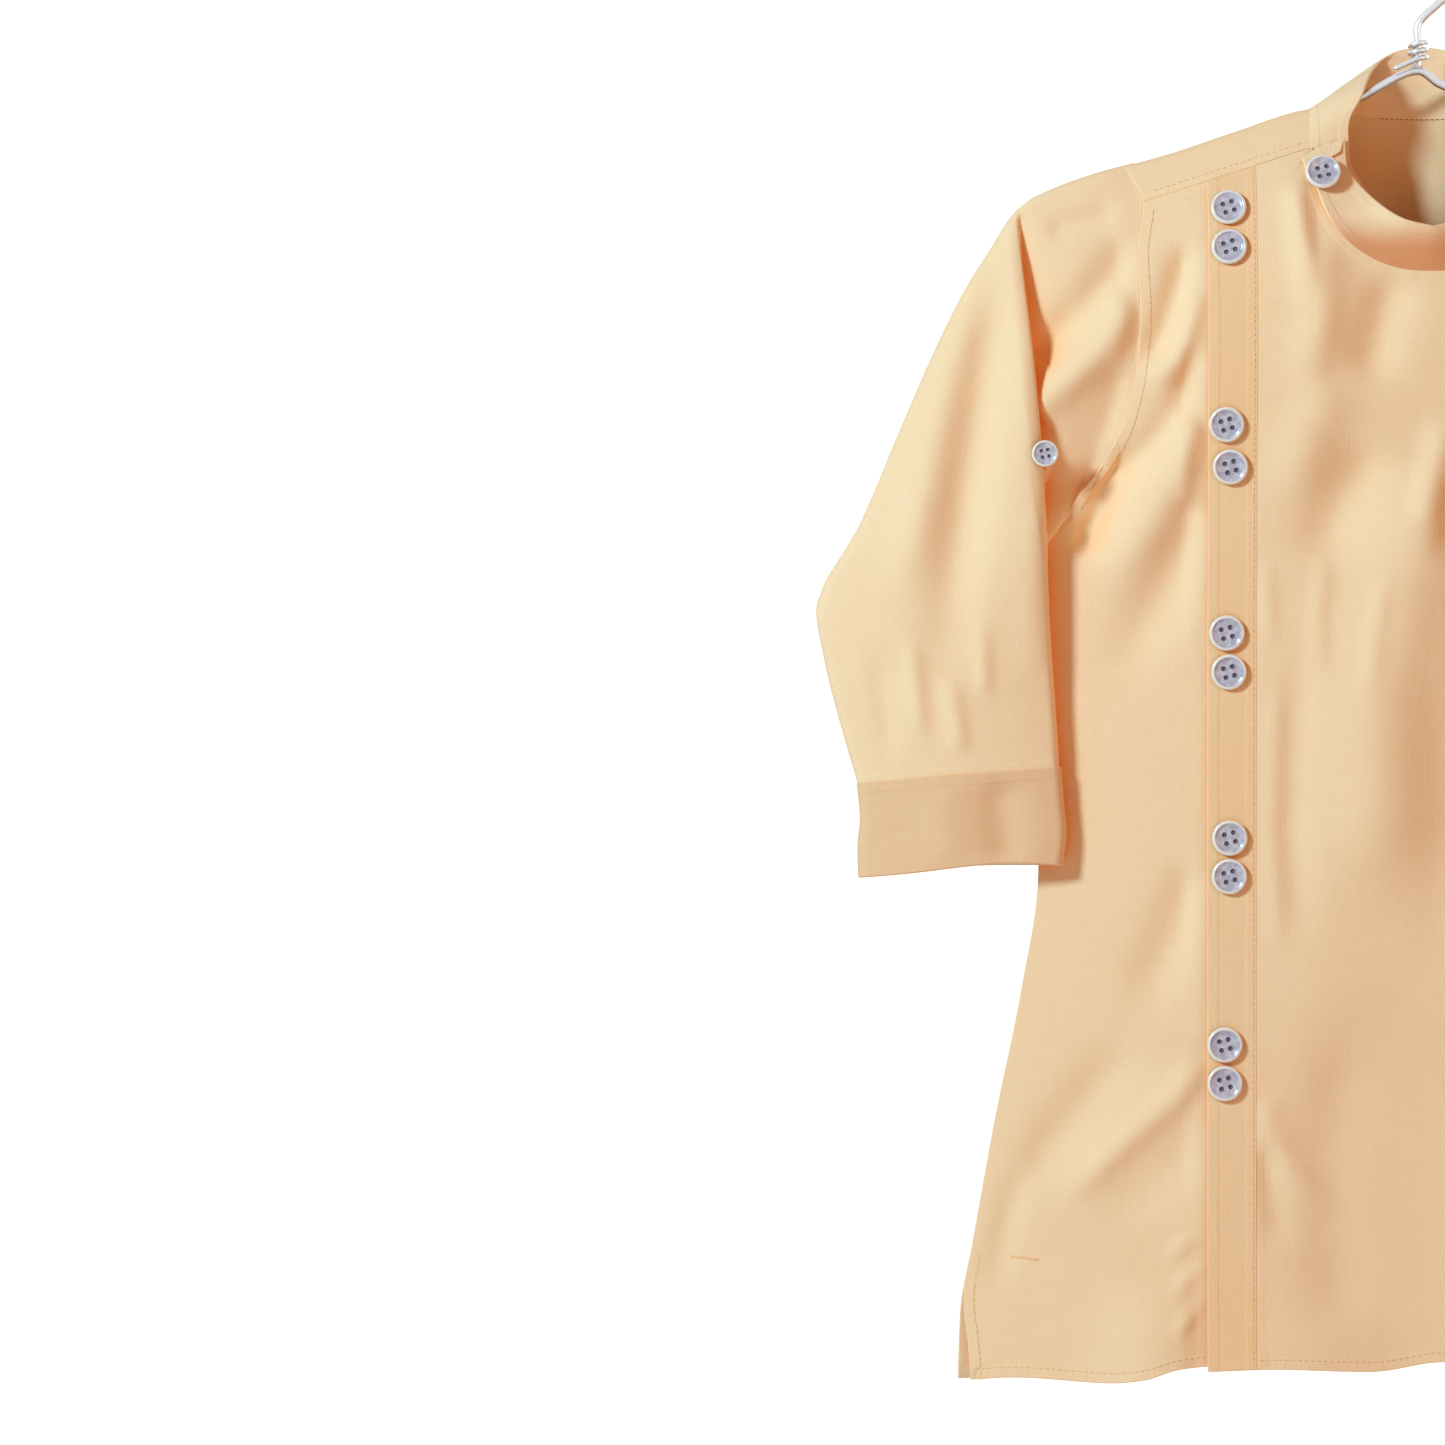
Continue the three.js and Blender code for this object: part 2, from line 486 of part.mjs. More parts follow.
function sleeveRing(ring) {
  const front = ringShares.map((a) => ringPoint(ring, a, -1));
  const back = ringShares.slice(1).map((a) => ringPoint(ring, a, 1));
  return [...front, ringPoint(ring, 1, -1), ...back.reverse()];
}

const mirrored = (net) => net.map((row) => row.map((p) => new THREE.Vector3(-p.x, p.y, p.z)));

// Stand collar: its seam follows the neck line, its rim the table
const collarStops = [0, 0.2, 0.4, 0.6, 0.8, 1, 1.08, 1.5, 2, 2.2, 2.4, 2.6, 2.8, 3];
const rimOf = (at) => new THREE.Vector3(...[0, 1, 2].map((k) => read(collarRows.map((r) => [r.at, r.rim[k]]), at)));

function neckSeam(at, depth) {
  if (at > 2) {
    const [x, z] = frontNeck((at - 2) / 2);
    return new THREE.Vector3(x, depth(x, z), z);
  }
  if (at > 1) return stripPoint(-neck.halfWidth, { side: -1, part: at - 1 }, seamDrop(neck.halfWidth));
  const x = -neck.halfWidth * Math.sin((at * Math.PI) / 2);
  return new THREE.Vector3(x, at < 1 ? backY(x, backNeckZ(x)) : 0, backNeckZ(x));
}

function collarSection(at, part) {
  const seam = neckSeam(at, part === 'under' ? frontY : overY);
  const rim = rimOf(at);
  if (part === 'left') {
    if (at > 2) seam.y = overY(-seam.x, seam.z);
    for (const p of [seam, rim]) p.x = -p.x;
  }
  if (part === 'under') rim.y += lap.inward * smooth(lap.startAt, 2, at);
  if (part === 'outer') {
    const near = 1 - smooth(lap.outerFrom, lap.underEnd, at);
    rim.addScaledVector(seam.clone().sub(rim).normalize(), lap.rimDrop * near);
    seam.y -= lap.outward * near;
    rim.y -= lap.outward * near;
  }
  seam.addScaledVector(rim.clone().sub(seam).normalize(), gap.collar);
  return [seam, seam.clone().lerp(rim, 0.5), rim];
}

function collarNet() {
  const down = [...collarStops].reverse();
  const tab = collarTab.map(({ seam, rim }) => {
    const [s, r] = [seam, rim].map(([x, z]) => new THREE.Vector3(x, overY(x, z) - lap.tabLift, z));
    return [s, s.clone().lerp(r, 0.5), r];
  });
  return [
    ...down.filter((at) => at < lap.underEnd).map((at) => collarSection(at, 'under')),
    ...collarStops.slice(1, -1).map((at) => collarSection(at, 'left')),
    ...down.filter((at) => at > 2).map((at) => collarSection(at, 'outer')),
    ...tab,
  ];
}

// A round button with a raised rim, a dished face and four holes; its back is at y = 0
function buttonBody({ radius, height, holeRadius, holeAt }) {
  const profile = buttonOutline.map(([r, h]) => new THREE.Vector2(r * radius, h * height));
  let solid = solidOf(new THREE.LatheGeometry(profile, round.buttonSides));
  const drill = new THREE.CylinderGeometry(holeRadius, holeRadius, 3 * height, round.holeSides);
  for (let k = 0; k < 4; k += 1) {
    const turn = (k / 4 + 1 / 8) * 2 * Math.PI + buttonTurn;
    const hole = drill.clone().translate(holeAt * Math.cos(turn), height / 2, holeAt * Math.sin(turn));
    solid = solid.subtract(solidOf(hole));
  }
  const { vertProperties, triVerts } = solid.getMesh();
  return bodyOf([...vertProperties], [...triVerts]);
}

function solidOf(geometry) {
  const body = joined(geometry);
  return new wasm.Manifold(new wasm.Mesh({
    numProp: 3,
    vertProperties: body.attributes.position.array,
    triVerts: new Uint32Array(body.index.array),
  }));
}

function addButton(name, geometry, place, outward) {
  const button = addPiece(name, geometry, colour.button, 0.35);
  button.position.copy(place);
  button.quaternion.setFromUnitVectors(new THREE.Vector3(0, 1, 0), outward);
}

// Outward direction of a surface given as its depth at x and z
function facing(depth, x, z) {
  const step = 3;
  const slopeX = (depth(x + step, z) - depth(x - step, z)) / (2 * step);
  const slopeZ = (depth(x, z + step) - depth(x, z - step)) / (2 * step);
  return new THREE.Vector3(slopeX, -1, slopeZ).normalize();
}

function tube(points, radius, sides, steps) {
  const ring = new THREE.Shape(even(sides).slice(0, -1)
    .map((t) => new THREE.Vector2(radius * Math.cos(2 * Math.PI * t), radius * Math.sin(2 * Math.PI * t))));
  const path = new THREE.CatmullRomCurve3(points, false, 'centripetal');
  return joined(new THREE.ExtrudeGeometry(ring, { extrudePath: path, steps, bevelEnabled: false }));
}

const wireDrop = cloth.wall / 2 + wire.underCloth + wire.radius;

// Shoulder wire, from one tip over the apex to the other, close under the cloth
function hangerArms() {
  const arm = armWire.map(([x, lower]) => [x, shoulderZ(x) - wireDrop - lower]);
  const left = arm.map(([x, z]) => [-x, z]);
  return [...left, ...neckWire, ...arm.reverse()].map(([x, z]) => new THREE.Vector3(x, 0, z));
}

// Hook: a stem from the apex, then an arc round the rod that it hangs on
function hangerHook() {
  const middle = hook.radius + wire.radius;
  const stem = [hook.apexZ + wire.radius + hook.stemGap, ...hookStem];
  return [
    ...stem.map((z) => new THREE.Vector3(hook.apexX, 0, z)),
    ...hookTurns.map(THREE.MathUtils.degToRad)
      .map((a) => new THREE.Vector3(middle * Math.cos(a), 0, middle * Math.sin(a) - hook.radius)),
  ];
}

// Thinner wire that ties the stem: a tail along the left arm, then turns round the stem
function hangerTwist() {
  const out = wire.radius + wire.twistRadius + gap.seam;
  const tail = wireTail.map(([x, z]) => new THREE.Vector3(x, -out, z));
  const turns = even(wireTie.steps).map((t) => {
    const a = (t * wireTie.turns * 2 - 0.5) * Math.PI;
    return new THREE.Vector3(hook.apexX + out * Math.cos(a), out * Math.sin(a), wireTie.foot + wireTie.rise * t);
  });
  return [...tail, ...turns];
}

const over = overNet();
const raise = (net, depth) => net.map((row) => row.map(([x, z]) => new THREE.Vector3(x, depth(x, z), z)));
addPiece('front_over', wall(raise(over, overY), cloth.wall), colour.cloth);
addPiece('front_under', wall(raise(underNet(), frontY), cloth.wall), colour.cloth);
const bandY = (x, z) => overY(x, z) - layer;
const bandNet = over.map((row) => row.slice(0, mesh.bandSteps + 1));
addPiece('placket_band', wall(raise(bandNet, bandY), cloth.wall), colour.cloth);
addPiece('back', backPanel(), colour.cloth);
addPiece('collar', wall(collarNet(), cloth.wall), colour.cloth);

const sleeve = [armholeRing(), ...sleeveRings.map(sleeveRing)];
const cuff = cuffRings.map(sleeveRing);
for (const [side, turned] of [['right', (net) => net], ['left', mirrored]]) {
  addPiece(`sleeve_${side}`, wall(turned(sleeve), cloth.wall, { tubular: true }), colour.cloth);
  addPiece(`cuff_${side}`, wall(turned(cuff), cloth.cuffWall, { tubular: true }), colour.shade);
}

const onBand = (x, z) => bandY(x, z) - cloth.wall / 2 - gap.button;
for (const { name, x, z } of buttonRows) {
  addButton(name, buttonBody(bigButton), new THREE.Vector3(x, onBand(x, z), z), facing(bandY, x, z));
}
const onTab = (x, z) => overY(x, z) - lap.tabLift;
const { x: tabX, z: tabZ } = collarButton;
const onCollar = new THREE.Vector3(tabX, onTab(tabX, tabZ) - collarButton.stand, tabZ);
addButton('button_collar', buttonBody(bigButton), onCollar, facing(onTab, tabX, tabZ));
for (const [side, sign] of [['right', -1], ['left', 1]]) {
  const place = new THREE.Vector3(sign * sleeveButton.x, sleeveButton.y, sleeveButton.z);
  addButton(`button_sleeve_${side}`, buttonBody(smallButton), place, new THREE.Vector3(0, -1, 0));
}

addPiece('hanger_arms', tube(hangerArms(), wire.radius, wire.sides, round.armSteps), colour.metal, 0.25, 1);
addPiece('hanger_hook', tube(hangerHook(), wire.radius, wire.sides, round.hookSteps), colour.metal, 0.25, 1);
addPiece('hanger_twist', tube(hangerTwist(), wire.twistRadius, wire.twistSides, round.twistSteps), colour.metal, 0.25, 1);

export default kurta;
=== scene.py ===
import math

import bpy
import numpy as np
from mathutils import Matrix, Vector


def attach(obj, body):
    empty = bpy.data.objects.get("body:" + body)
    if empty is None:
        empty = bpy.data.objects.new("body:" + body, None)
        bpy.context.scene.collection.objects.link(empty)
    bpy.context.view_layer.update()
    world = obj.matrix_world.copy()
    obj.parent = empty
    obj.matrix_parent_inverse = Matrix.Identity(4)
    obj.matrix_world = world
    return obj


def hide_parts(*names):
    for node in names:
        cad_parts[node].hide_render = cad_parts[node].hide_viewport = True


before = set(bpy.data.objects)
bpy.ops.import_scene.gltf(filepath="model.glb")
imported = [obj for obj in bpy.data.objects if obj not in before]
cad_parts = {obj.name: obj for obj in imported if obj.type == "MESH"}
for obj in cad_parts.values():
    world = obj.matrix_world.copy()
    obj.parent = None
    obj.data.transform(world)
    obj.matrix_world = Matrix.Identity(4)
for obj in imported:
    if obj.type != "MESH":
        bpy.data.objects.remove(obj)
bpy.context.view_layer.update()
print("frame loaded")

mm = 0.001

# Lines of the cut, as seen from the front; left sides mirror the right ones
shoulderLine = [(0, -73), (49, -77.8), (83, -88.3), (107, -96.4), (126.4, -101.8), (145, -106.4),
                (163, -113.1), (174, -121.9)]
armholeLine = [(-248, 151.5), (-238, 144.5), (-226, 135.5), (-209, 127.5), (-188, 123), (-165, 121.2),
               (-140, 122.3), (-117.5, 119.7), (-101.8, 126.4)]
sideLine = [(-613.5, 197.5), (-585, 196.5), (-557, 191.5), (-502, 181.5), (-451, 171), (-400, 163.5),
            (-345, 163), (-290, 162.5), (-268, 163.5), (-257, 162), (-248, 151.5)]
chestLine = [(-248, 152), (-120, 173), (-60, 183)]
overHem = [(-93, -609), (-66, -608.1), (-23.5, -609.4), (6, -605.5), (60, -608), (130, -612),
           (197.5, -613.5)]
underHem = [(-197.5, -613.5), (-174, -612), (-134, -614), (-121, -612.7), (-105, -608.1), (-93, -607)]
backHem = [(-197.5, -613), (-100, -606), (0, -603), (100, -606), (197.5, -613)]
frontBelly = [(-613, 13), (-400, 14), (-250, 17), (-147, 26), (-60, 27)]
backBelly = [(-613, 10), (-400, 11), (-250, 13), (-147, 15), (-60, 15)]
edgeRound = [(-613, 2.2), (-568, 0.41), (-300, 0.41), (-248, 2), (-150, 3.3), (-60, 3.3)]

cut = {"neckHalf": 49, "neckFrontTop": -95, "neckFrontDrop": 52, "neckSquareness": 2.25, "neckBackDip": 2,
       "bandEdge": -93, "bandWidth": 20, "yokeNeckZ": -95, "yokeSlope": 0.3187, "yokeEndZ": -117.5,
       "underarmZ": -248, "hemZ": -613.5, "hemHalf": 197.5, "slitTop": -568, "slitLength": 45, "slitStep": 5,
       "hiddenRise": 2,
       "shoulderEnd": 126.4, "seamGap": 0.45}


def bendsFrom(slopes):
    # slopes at the points of a curve, so that it doesn't overshoot between them
    bends = np.zeros((len(slopes) + 1, *slopes.shape[1:]))
    bends[0], bends[-1] = slopes[0], slopes[-1]
    before, after = slopes[:-1], slopes[1:]
    same = before * after > 0
    bends[1:-1] = np.where(same, 2 * before * after / np.where(same, before + after, 1), 0)
    return bends


def curved(start, end, bendOut, bendIn, t):
    return ((2 * t**3 - 3 * t**2 + 1) * start + (t**3 - 2 * t**2 + t) * bendOut
            + (3 * t**2 - 2 * t**3) * end + (t**3 - t**2) * bendIn)


def readTable(table, place):
    rows = np.array(sorted(table), float)
    xs, ys = rows[:, 0], rows[:, 1]
    bends = bendsFrom(np.diff(ys) / np.diff(xs))
    at = np.clip(place, xs[0], xs[-1])
    k = np.clip(np.searchsorted(xs, at, side="right") - 1, 0, len(xs) - 2)
    step = xs[k + 1] - xs[k]
    return curved(ys[k], ys[k + 1], step * bends[k], step * bends[k + 1], (at - xs[k]) / step)


def mix(a, b, t):
    return a + (b - a) * t


def smooth(low, high, value):
    t = np.clip((value - low) / (high - low), 0, 1)
    return t * t * (3 - 2 * t)


def roundEnd(radius, depth):
    return radius * np.sqrt(1 - (1 - np.clip(depth / radius, 0, 1)) ** 2)


def shoulderZ(x):
    return readTable(shoulderLine, np.abs(x))


def seamZ(x):
    return cut["yokeNeckZ"] - (np.abs(x) - cut["neckHalf"]) * cut["yokeSlope"]


def bodyEdge(z):
    return np.where(z > cut["underarmZ"], readTable(chestLine, z), readTable(sideLine, z))


# Creases: soft ridges along a path of points, or troughs where out is below zero
foldColumns = ("name", "width", "out", "fadeIn", "fadeOut")
foldHeight = 1.9


def foldRows(*rows):
    return [{**dict(zip(foldColumns, row)), "path": row[len(foldColumns):]} for row in rows]


underFolds = foldRows(
    ("yokeHollow", 7, -2.4, 0.25, 0.25, (-99, -132), (-110, -168.4), (-118.9, -189.4)),
    ("upperTwist", 6.5, 1.9, 0.05, 0.25, (-93, -158), (-108.4, -186), (-117.6, -197.8)),
    ("twistHollow", 7.5, -2, 0.05, 0.35, (-93, -182), (-111.3, -213.7), (-130.2, -234.7)),
    ("chestPull", 12, 2.8, 0.05, 0.5, (-93, -211), (-118.9, -253.6), (-140.3, -291.4)),
    ("chestHollow", 12, -2.3, 0.05, 0.5, (-93, -246), (-113.4, -287.2), (-138.6, -327.1)),
    ("waistFall", 11, -1.9, 0.15, 0.45, (-94, -396), (-109, -430), (-126, -468)),
    ("waistHollow", 11, -1.8, 0.35, 0.3, (-118, -466), (-141, -493), (-175, -537)),
    ("lowerPull", 6.5, 1.75, 0.03, 0.4, (-93, -482), (-127.7, -513), (-160, -544)),
    ("lowerHollow", 12, -1.1, 0.05, 0.45, (-93, -510.5), (-117.6, -532.9), (-142.8, -551.8)),
    ("slitHollow", 7, -1.6, 0.3, 0.3, (-171, -520), (-180, -548), (-186, -580)),
    ("underarmHollow", 7.5, -3.8, 0.25, 0.2, (-122, -218), (-131, -233), (-140, -247), (-147, -270)),
    ("cornerRise", 20, 2.4, 0.4, 0.05, (-110, -562), (-116, -600), (-120, -645)),
    ("pucker1", 3, 0.9, 0.05, 0.5, (-93, -552), (-102.5, -556.4), (-112.1, -563.2)),
    ("pucker2", 3, 0.9, 0.05, 0.5, (-93, -565.5), (-100.8, -570.7), (-110.9, -579.1)),
    ("pucker3", 3, 1, 0.05, 0.5, (-93, -580.6), (-100.8, -586.7), (-109.2, -596.8)),
)
overFolds = foldRows(
    ("collarDrop", 4.6, 2.2, 0.15, 0.5, (-57.5, -108), (-54, -138.1), (-52, -163)),
    ("chestRise", 9, 2, 0.25, 0.4, (-46, -128), (-47, -167.5), (-54, -205)),
    ("neckHollow", 10, -2.4, 0.25, 0.35, (-14, -146), (-20, -165), (-28, -200)),
    ("breastRise", 11, 1.6, 0.3, 0.4, (-36, -190), (-52, -215), (-62, -250)),
    ("breastHollow", 13, -2.6, 0.25, 0.35, (-19, -216), (-37.8, -245), (-51, -276)),
    ("centreRise", 21, 4.2, 0.15, 0.3, (8, -232), (-10.6, -278), (-21, -327.1), (-21, -372), (-33.6, -425)),
    ("centreTwist", 6.5, 2, 0.3, 0.3, (8, -205), (0.5, -236), (-5, -258)),
    ("centreDip", 8, -2.8, 0.3, 0.3, (25, -215), (14, -245), (4, -275)),
    ("bandCrease", 3.5, 0.5, 0.15, 0.2, (-64.4, -318), (-66, -381.3), (-63.4, -436)),
    ("bandHollow", 7, -0.9, 0.2, 0.3, (-54, -300), (-57.5, -381.3), (-52, -440)),
    ("centreFall", 17, -1.3, 0.25, 0.3, (6, -310), (12, -380), (4, -458)),
    ("buttonPull", 6, 0.8, 0.1, 0.4, (-72.5, -494), (-61, -520), (-38, -548)),
    ("buttonHollow", 6, -0.9, 0.2, 0.3, (-70, -512), (-67, -532), (-60, -560)),
    ("lowerFall", 16, -1.6, 0.3, 0.2, (-30, -452), (-42, -520), (-36, -600)),
    ("skirtHollow", 46, -3.2, 0.3, 0.05, (4, -430), (0, -520), (0, -660)),
    ("streak1", 3.5, 0.6, 0.3, 0.3, (-69.7, -265), (-68.6, -285.1), (-66.2, -308.2)),
    ("streak2", 4, 0.6, 0.3, 0.3, (-44, -262), (-47.3, -290), (-46.6, -322)),
    ("streak3", 4, 0.6, 0.3, 0.3, (-19, -270), (-24, -300), (-27, -330)),
)
capFolds = foldRows(
    ("shoulderHollow", 5, -1.6, 0.2, 0.2, (-161.7, -129), (-148, -126), (-130, -121)),
    ("capHollow", 8, -2.4, 0.05, 0.15, (-166, -184), (-140.7, -157.4), (-122.6, -133.9)),
    ("capPull", 8, 3, 0.02, 0.15, (-166, -204), (-138.6, -181), (-121.8, -157)),
    ("underarmHollow", 9, -4.6, 0.05, 0.15, (-163, -236), (-146, -242), (-131, -234)),
    ("capFall", 15, -2.8, 0.15, 0.15, (-152, -242), (-133, -216), (-118, -190)),
)
armFolds = foldRows(
    ("armRise", 10, 2.4, 0.2, 0.3, (-190, -146), (-205.8, -201), (-216.3, -251.5), (-224.3, -292)),
    ("armFall", 11.5, -3.5, 0.2, 0.45, (-181, -140), (-189, -201), (-194.6, -243.1), (-201, -290),
     (-206, -338)),
    ("lipRise", 10, 1.6, 0.3, 0.25, (-166, -232), (-163.5, -268), (-161.5, -327)),
    ("wristStreak1", 3.2, 0.9, 0.3, 0.3, (-188.6, -292), (-187.7, -308), (-186.9, -329)),
    ("wristStreak2", 4, 1.1, 0.3, 0.3, (-219, -298), (-216, -322), (-213.4, -348)),
    ("wristStreak3", 4, 1, 0.3, 0.3, (-203, -315), (-199, -335), (-196.5, -353)),
    ("wristHollow", 5, -0.9, 0.3, 0.3, (-232, -305), (-229, -330), (-226, -354)),
)
cuffFolds = foldRows(
    ("cuffDip", 9, -1.9, 0.15, 0.2, (-181, -354.4), (-178.5, -377.5), (-177, -398.5)),
    ("cuffSwell", 8, 0.7, 0.2, 0.2, (-206, -358), (-204, -378), (-203, -398)),
    ("cuffLine", 1.6, -0.5, 0.1, 0.2, (-236, -385.1), (-226.8, -383.4), (-218.4, -382.6)),
)
leftFolds = foldRows(
    ("leftArmPull", 10, 3.2, 0.15, 0.5, (112, -150), (96, -196), (70, -240)),
    ("leftArmShade", 9, -2.6, 0.15, 0.4, (121, -188), (112, -232), (92, -282)),
    ("leftChestPull", 14, 3.4, 0.3, 0.4, (88, -262), (116, -318), (136, -380)),
    ("leftWaist", 15, -3.4, 0.3, 0.3, (60, -350), (84, -430), (102, -530)),
    ("leftFall", 13, 2.8, 0.3, 0.1, (126, -420), (140, -500), (150, -596)),
    ("leftFallShade", 13, -2.2, 0.3, 0.1, (36, -470), (44, -540), (50, -600)),
    ("neckDrop", 8, 1.8, 0.2, 0.4, (34, -150), (44, -200), (46, -262)),
)
backFolds = foldRows(
    ("bladeRight", 14, 4, 0.2, 0.3, (-62, -118), (-88, -200), (-112, -300)),
    ("bladeRightShade", 11, -2.6, 0.2, 0.4, (-40, -150), (-58, -220), (-70, -310)),
    ("bladeLeft", 14, -4, 0.2, 0.3, (52, -140), (84, -225), (108, -330)),
    ("bladeLeftRise", 10, 2.6, 0.3, 0.4, (104, -150), (112, -210), (124, -268)),
    ("fallRight", 17, -4, 0.2, 0.2, (-22, -320), (-52, -440), (-78, -575)),
    ("fallRightRise", 14, 3, 0.3, 0.1, (-96, -380), (-118, -480), (-132, -600)),
    ("fallLeft", 17, 4, 0.2, 0.1, (30, -350), (62, -470), (86, -600)),
    ("fallLeftShade", 12, -2.8, 0.3, 0.1, (112, -400), (128, -500), (140, -600)),
    ("neckPull", 9, -1.6, 0.2, 0.5, (8, -92), (4, -150), (14, -226)),
)
sleeveBackFolds = foldRows(
    ("elbowPull", 12, 3, 0.2, 0.3, (-148, -146), (-166, -200), (-184, -256)),
    ("elbowShade", 11, -3, 0.2, 0.3, (-198, -205), (-208, -262), (-216, -322)),
    ("wristPull", 8, 1.4, 0.3, 0.2, (-176, -290), (-186, -326), (-190, -356)),
)


def foldField(folds, x, z):
    total = np.zeros(np.broadcast(x, z).shape)
    for fold in folds:
        path = np.array(fold["path"], float)
        runs = np.diff(path, axis=0)
        lengths = np.hypot(runs[:, 0], runs[:, 1])
        starts = np.concatenate([[0], np.cumsum(lengths)])
        nearest = np.full(total.shape, 1e9)
        along = np.zeros(total.shape)
        for k, (run, length) in enumerate(zip(runs, lengths)):
            t = np.clip(((x - path[k, 0]) * run[0] + (z - path[k, 1]) * run[1]) / length**2, 0, 1)
            away = np.hypot(x - path[k, 0] - run[0] * t, z - path[k, 1] - run[1] * t)
            closer = away < nearest
            nearest = np.where(closer, away, nearest)
            along = np.where(closer, (starts[k] + t * length) / starts[-1], along)
        ends = smooth(0, fold["fadeIn"], along) * (1 - smooth(1 - fold["fadeOut"], 1, along))
        total += foldHeight * fold["out"] * ends * np.exp(-(nearest / fold["width"]) ** 2)
    return total


# Half depth of the body, from the hanger's plane to the middle of the cloth
swelling = {"rise": 40, "power": 2.2, "foldShare": 0.25, "foldTop": 8, "foldFull": 40}


def bodyDepth(x, z, belly, fold):
    drop = np.maximum(0, shoulderZ(x) - z)
    corner = readTable(edgeRound, z)
    rise = 1 - np.exp(-np.maximum(0, drop - corner) / swelling["rise"])
    swell = np.maximum(0, 1 - (np.abs(x) / bodyEdge(z)) ** swelling["power"])
    near = smooth(0, swelling["foldShare"], swell) * smooth(swelling["foldTop"], swelling["foldFull"], drop)
    return roundEnd(corner, drop) + readTable(belly, z) * rise * swell + near * fold


# The over panel stands off the under one by layer, and comes down to the shoulder seam at its top
placket = {"fade": 4, "underFade": 12, "layer": 1.9, "layerAtSeam": 0.9, "layerFade": 10,
           "layerFrom": -55, "layerTo": -10}
bandLift = {"folded": 0.9, "stitched": 0.2}


def underY(x, z):
    share = 1 - smooth(cut["bandEdge"] - placket["underFade"], cut["bandEdge"], x)
    return -bodyDepth(x, z, frontBelly, foldField(underFolds, x, z) * share)


def overY(x, z):
    inner = cut["bandEdge"] + cut["bandWidth"]
    share = smooth(inner, inner + placket["fade"], x)
    fold = (foldField(overFolds, x, z) + foldField(leftFolds, x, z)) * share
    layer = mix(placket["layerAtSeam"], placket["layer"], smooth(0, placket["layerFade"], seamZ(x) - z))
    lift = layer * (1 - smooth(placket["layerFrom"], placket["layerTo"], x))
    return -bodyDepth(x, z, frontBelly, fold) - lift


# The band stands off the over panel at its folded edge and meets it at its stitched one
def bandY(x, z):
    share = (x - cut["bandEdge"]) / cut["bandWidth"]
    return overY(x, z) - mix(bandLift["folded"], bandLift["stitched"], share)


backNeck = {"bulge": 14, "top": -77, "spread": 0.7, "power": 1.5, "fade": 55}


def backY(x, z):
    below = np.maximum(0, backNeck["top"] - z)
    across = np.maximum(0, 1 - (x / (cut["neckHalf"] + backNeck["spread"] * below)) ** 2)
    bulge = backNeck["bulge"] * across ** backNeck["power"] * np.exp(-below / backNeck["fade"])
    return bodyDepth(x, z, backBelly, foldField(backFolds, x, z)) + bulge


def neckFront(t):
    c, s = math.cos(t * math.pi), math.sin(t * math.pi)
    power = 2 / cut["neckSquareness"]
    x = -cut["neckHalf"] * math.copysign(abs(c) ** power, c)
    return (x, cut["neckFrontTop"] - cut["neckFrontDrop"] * abs(s) ** power)


def neckBackZ(x):
    return float(shoulderZ(cut["neckHalf"])) - cut["neckBackDip"] * (1 - (x / cut["neckHalf"]) ** 2)


def even(count):
    return [k / count for k in range(count + 1)]


def spaced(low, high, shares):
    return [mix(low, high, share) for share in shares]


def mirrored(line):
    return [(-x, z) for x, z in line]


def onLine(table, places):
    return [(x, float(readTable(table, x))) for x in places]


def onSeam(places):
    return [(x, float(seamZ(x))) for x in places]


# How finely each piece is drawn
grid = {"armholeRows": 54, "sideRows": 150, "neckSteps": 60, "yokeSteps": 24, "bandSteps": 8,
        "underSteps": 44}


def edgePlaces():
    places = []
    for t in even(grid["armholeRows"]):
        z = mix(cut["yokeEndZ"], cut["underarmZ"], t)
        places.append((float(readTable(armholeLine, z)), z))
    for t in even(grid["sideRows"])[1:]:
        z = mix(cut["underarmZ"], cut["hemZ"], t)
        places.append((float(readTable(sideLine, z)), z))
    return places


edge = edgePlaces()
rowsDown = [(z - cut["yokeEndZ"]) / (cut["hemZ"] - cut["yokeEndZ"]) for _, z in edge]


def slitStep(z):
    return cut["slitStep"] * float(smooth(0, cut["slitLength"], cut["slitTop"] - z))


# The front panels' side edges step in at the slits
slitEdge = [(x - slitStep(z), z) for x, z in edge]


def fill(top, bottom, left, right, across, down):
    top, bottom, left, right = (np.array(line, float) for line in (top, bottom, left, right))
    u = np.array(across)[None, :, None]
    v = np.array(down)[:, None, None]
    corners = mix(mix(top[0], top[-1], u), mix(bottom[0], bottom[-1], u), v)
    return mix(top[None], bottom[None], v) + mix(left[:, None], right[:, None], u) - corners


def column(x, hemRise=0):
    low = float(readTable(overHem, x))
    places = [(x, mix(float(seamZ(x)), low, v)) for v in rowsDown]
    places[-1] = (x, places[-1][1] + hemRise)
    return places


def raised(flat, depth):
    x, z = flat[..., 0], flat[..., 1]
    return np.stack([x, depth(x, z), z], axis=-1)


bandColumns = [cut["bandEdge"] + cut["bandWidth"] * t for t in even(grid["bandSteps"])]


def overFlat():
    inner = bandColumns[-1]
    top = onSeam(spaced(inner, -cut["neckHalf"], even(grid["yokeSteps"] // 2)))
    top += [neckFront(t) for t in even(grid["neckSteps"])[1:]]
    top += onSeam(spaced(cut["neckHalf"], edge[0][0], even(grid["yokeSteps"])[1:]))
    across = even(len(top) - 1)
    low = onLine(overHem, spaced(inner, slitEdge[-1][0], across))
    main = fill(top, low, column(inner), slitEdge, across, rowsDown)
    band = np.array([column(x) for x in bandColumns[:-1]]).transpose(1, 0, 2)
    return np.concatenate([band, main], axis=1)


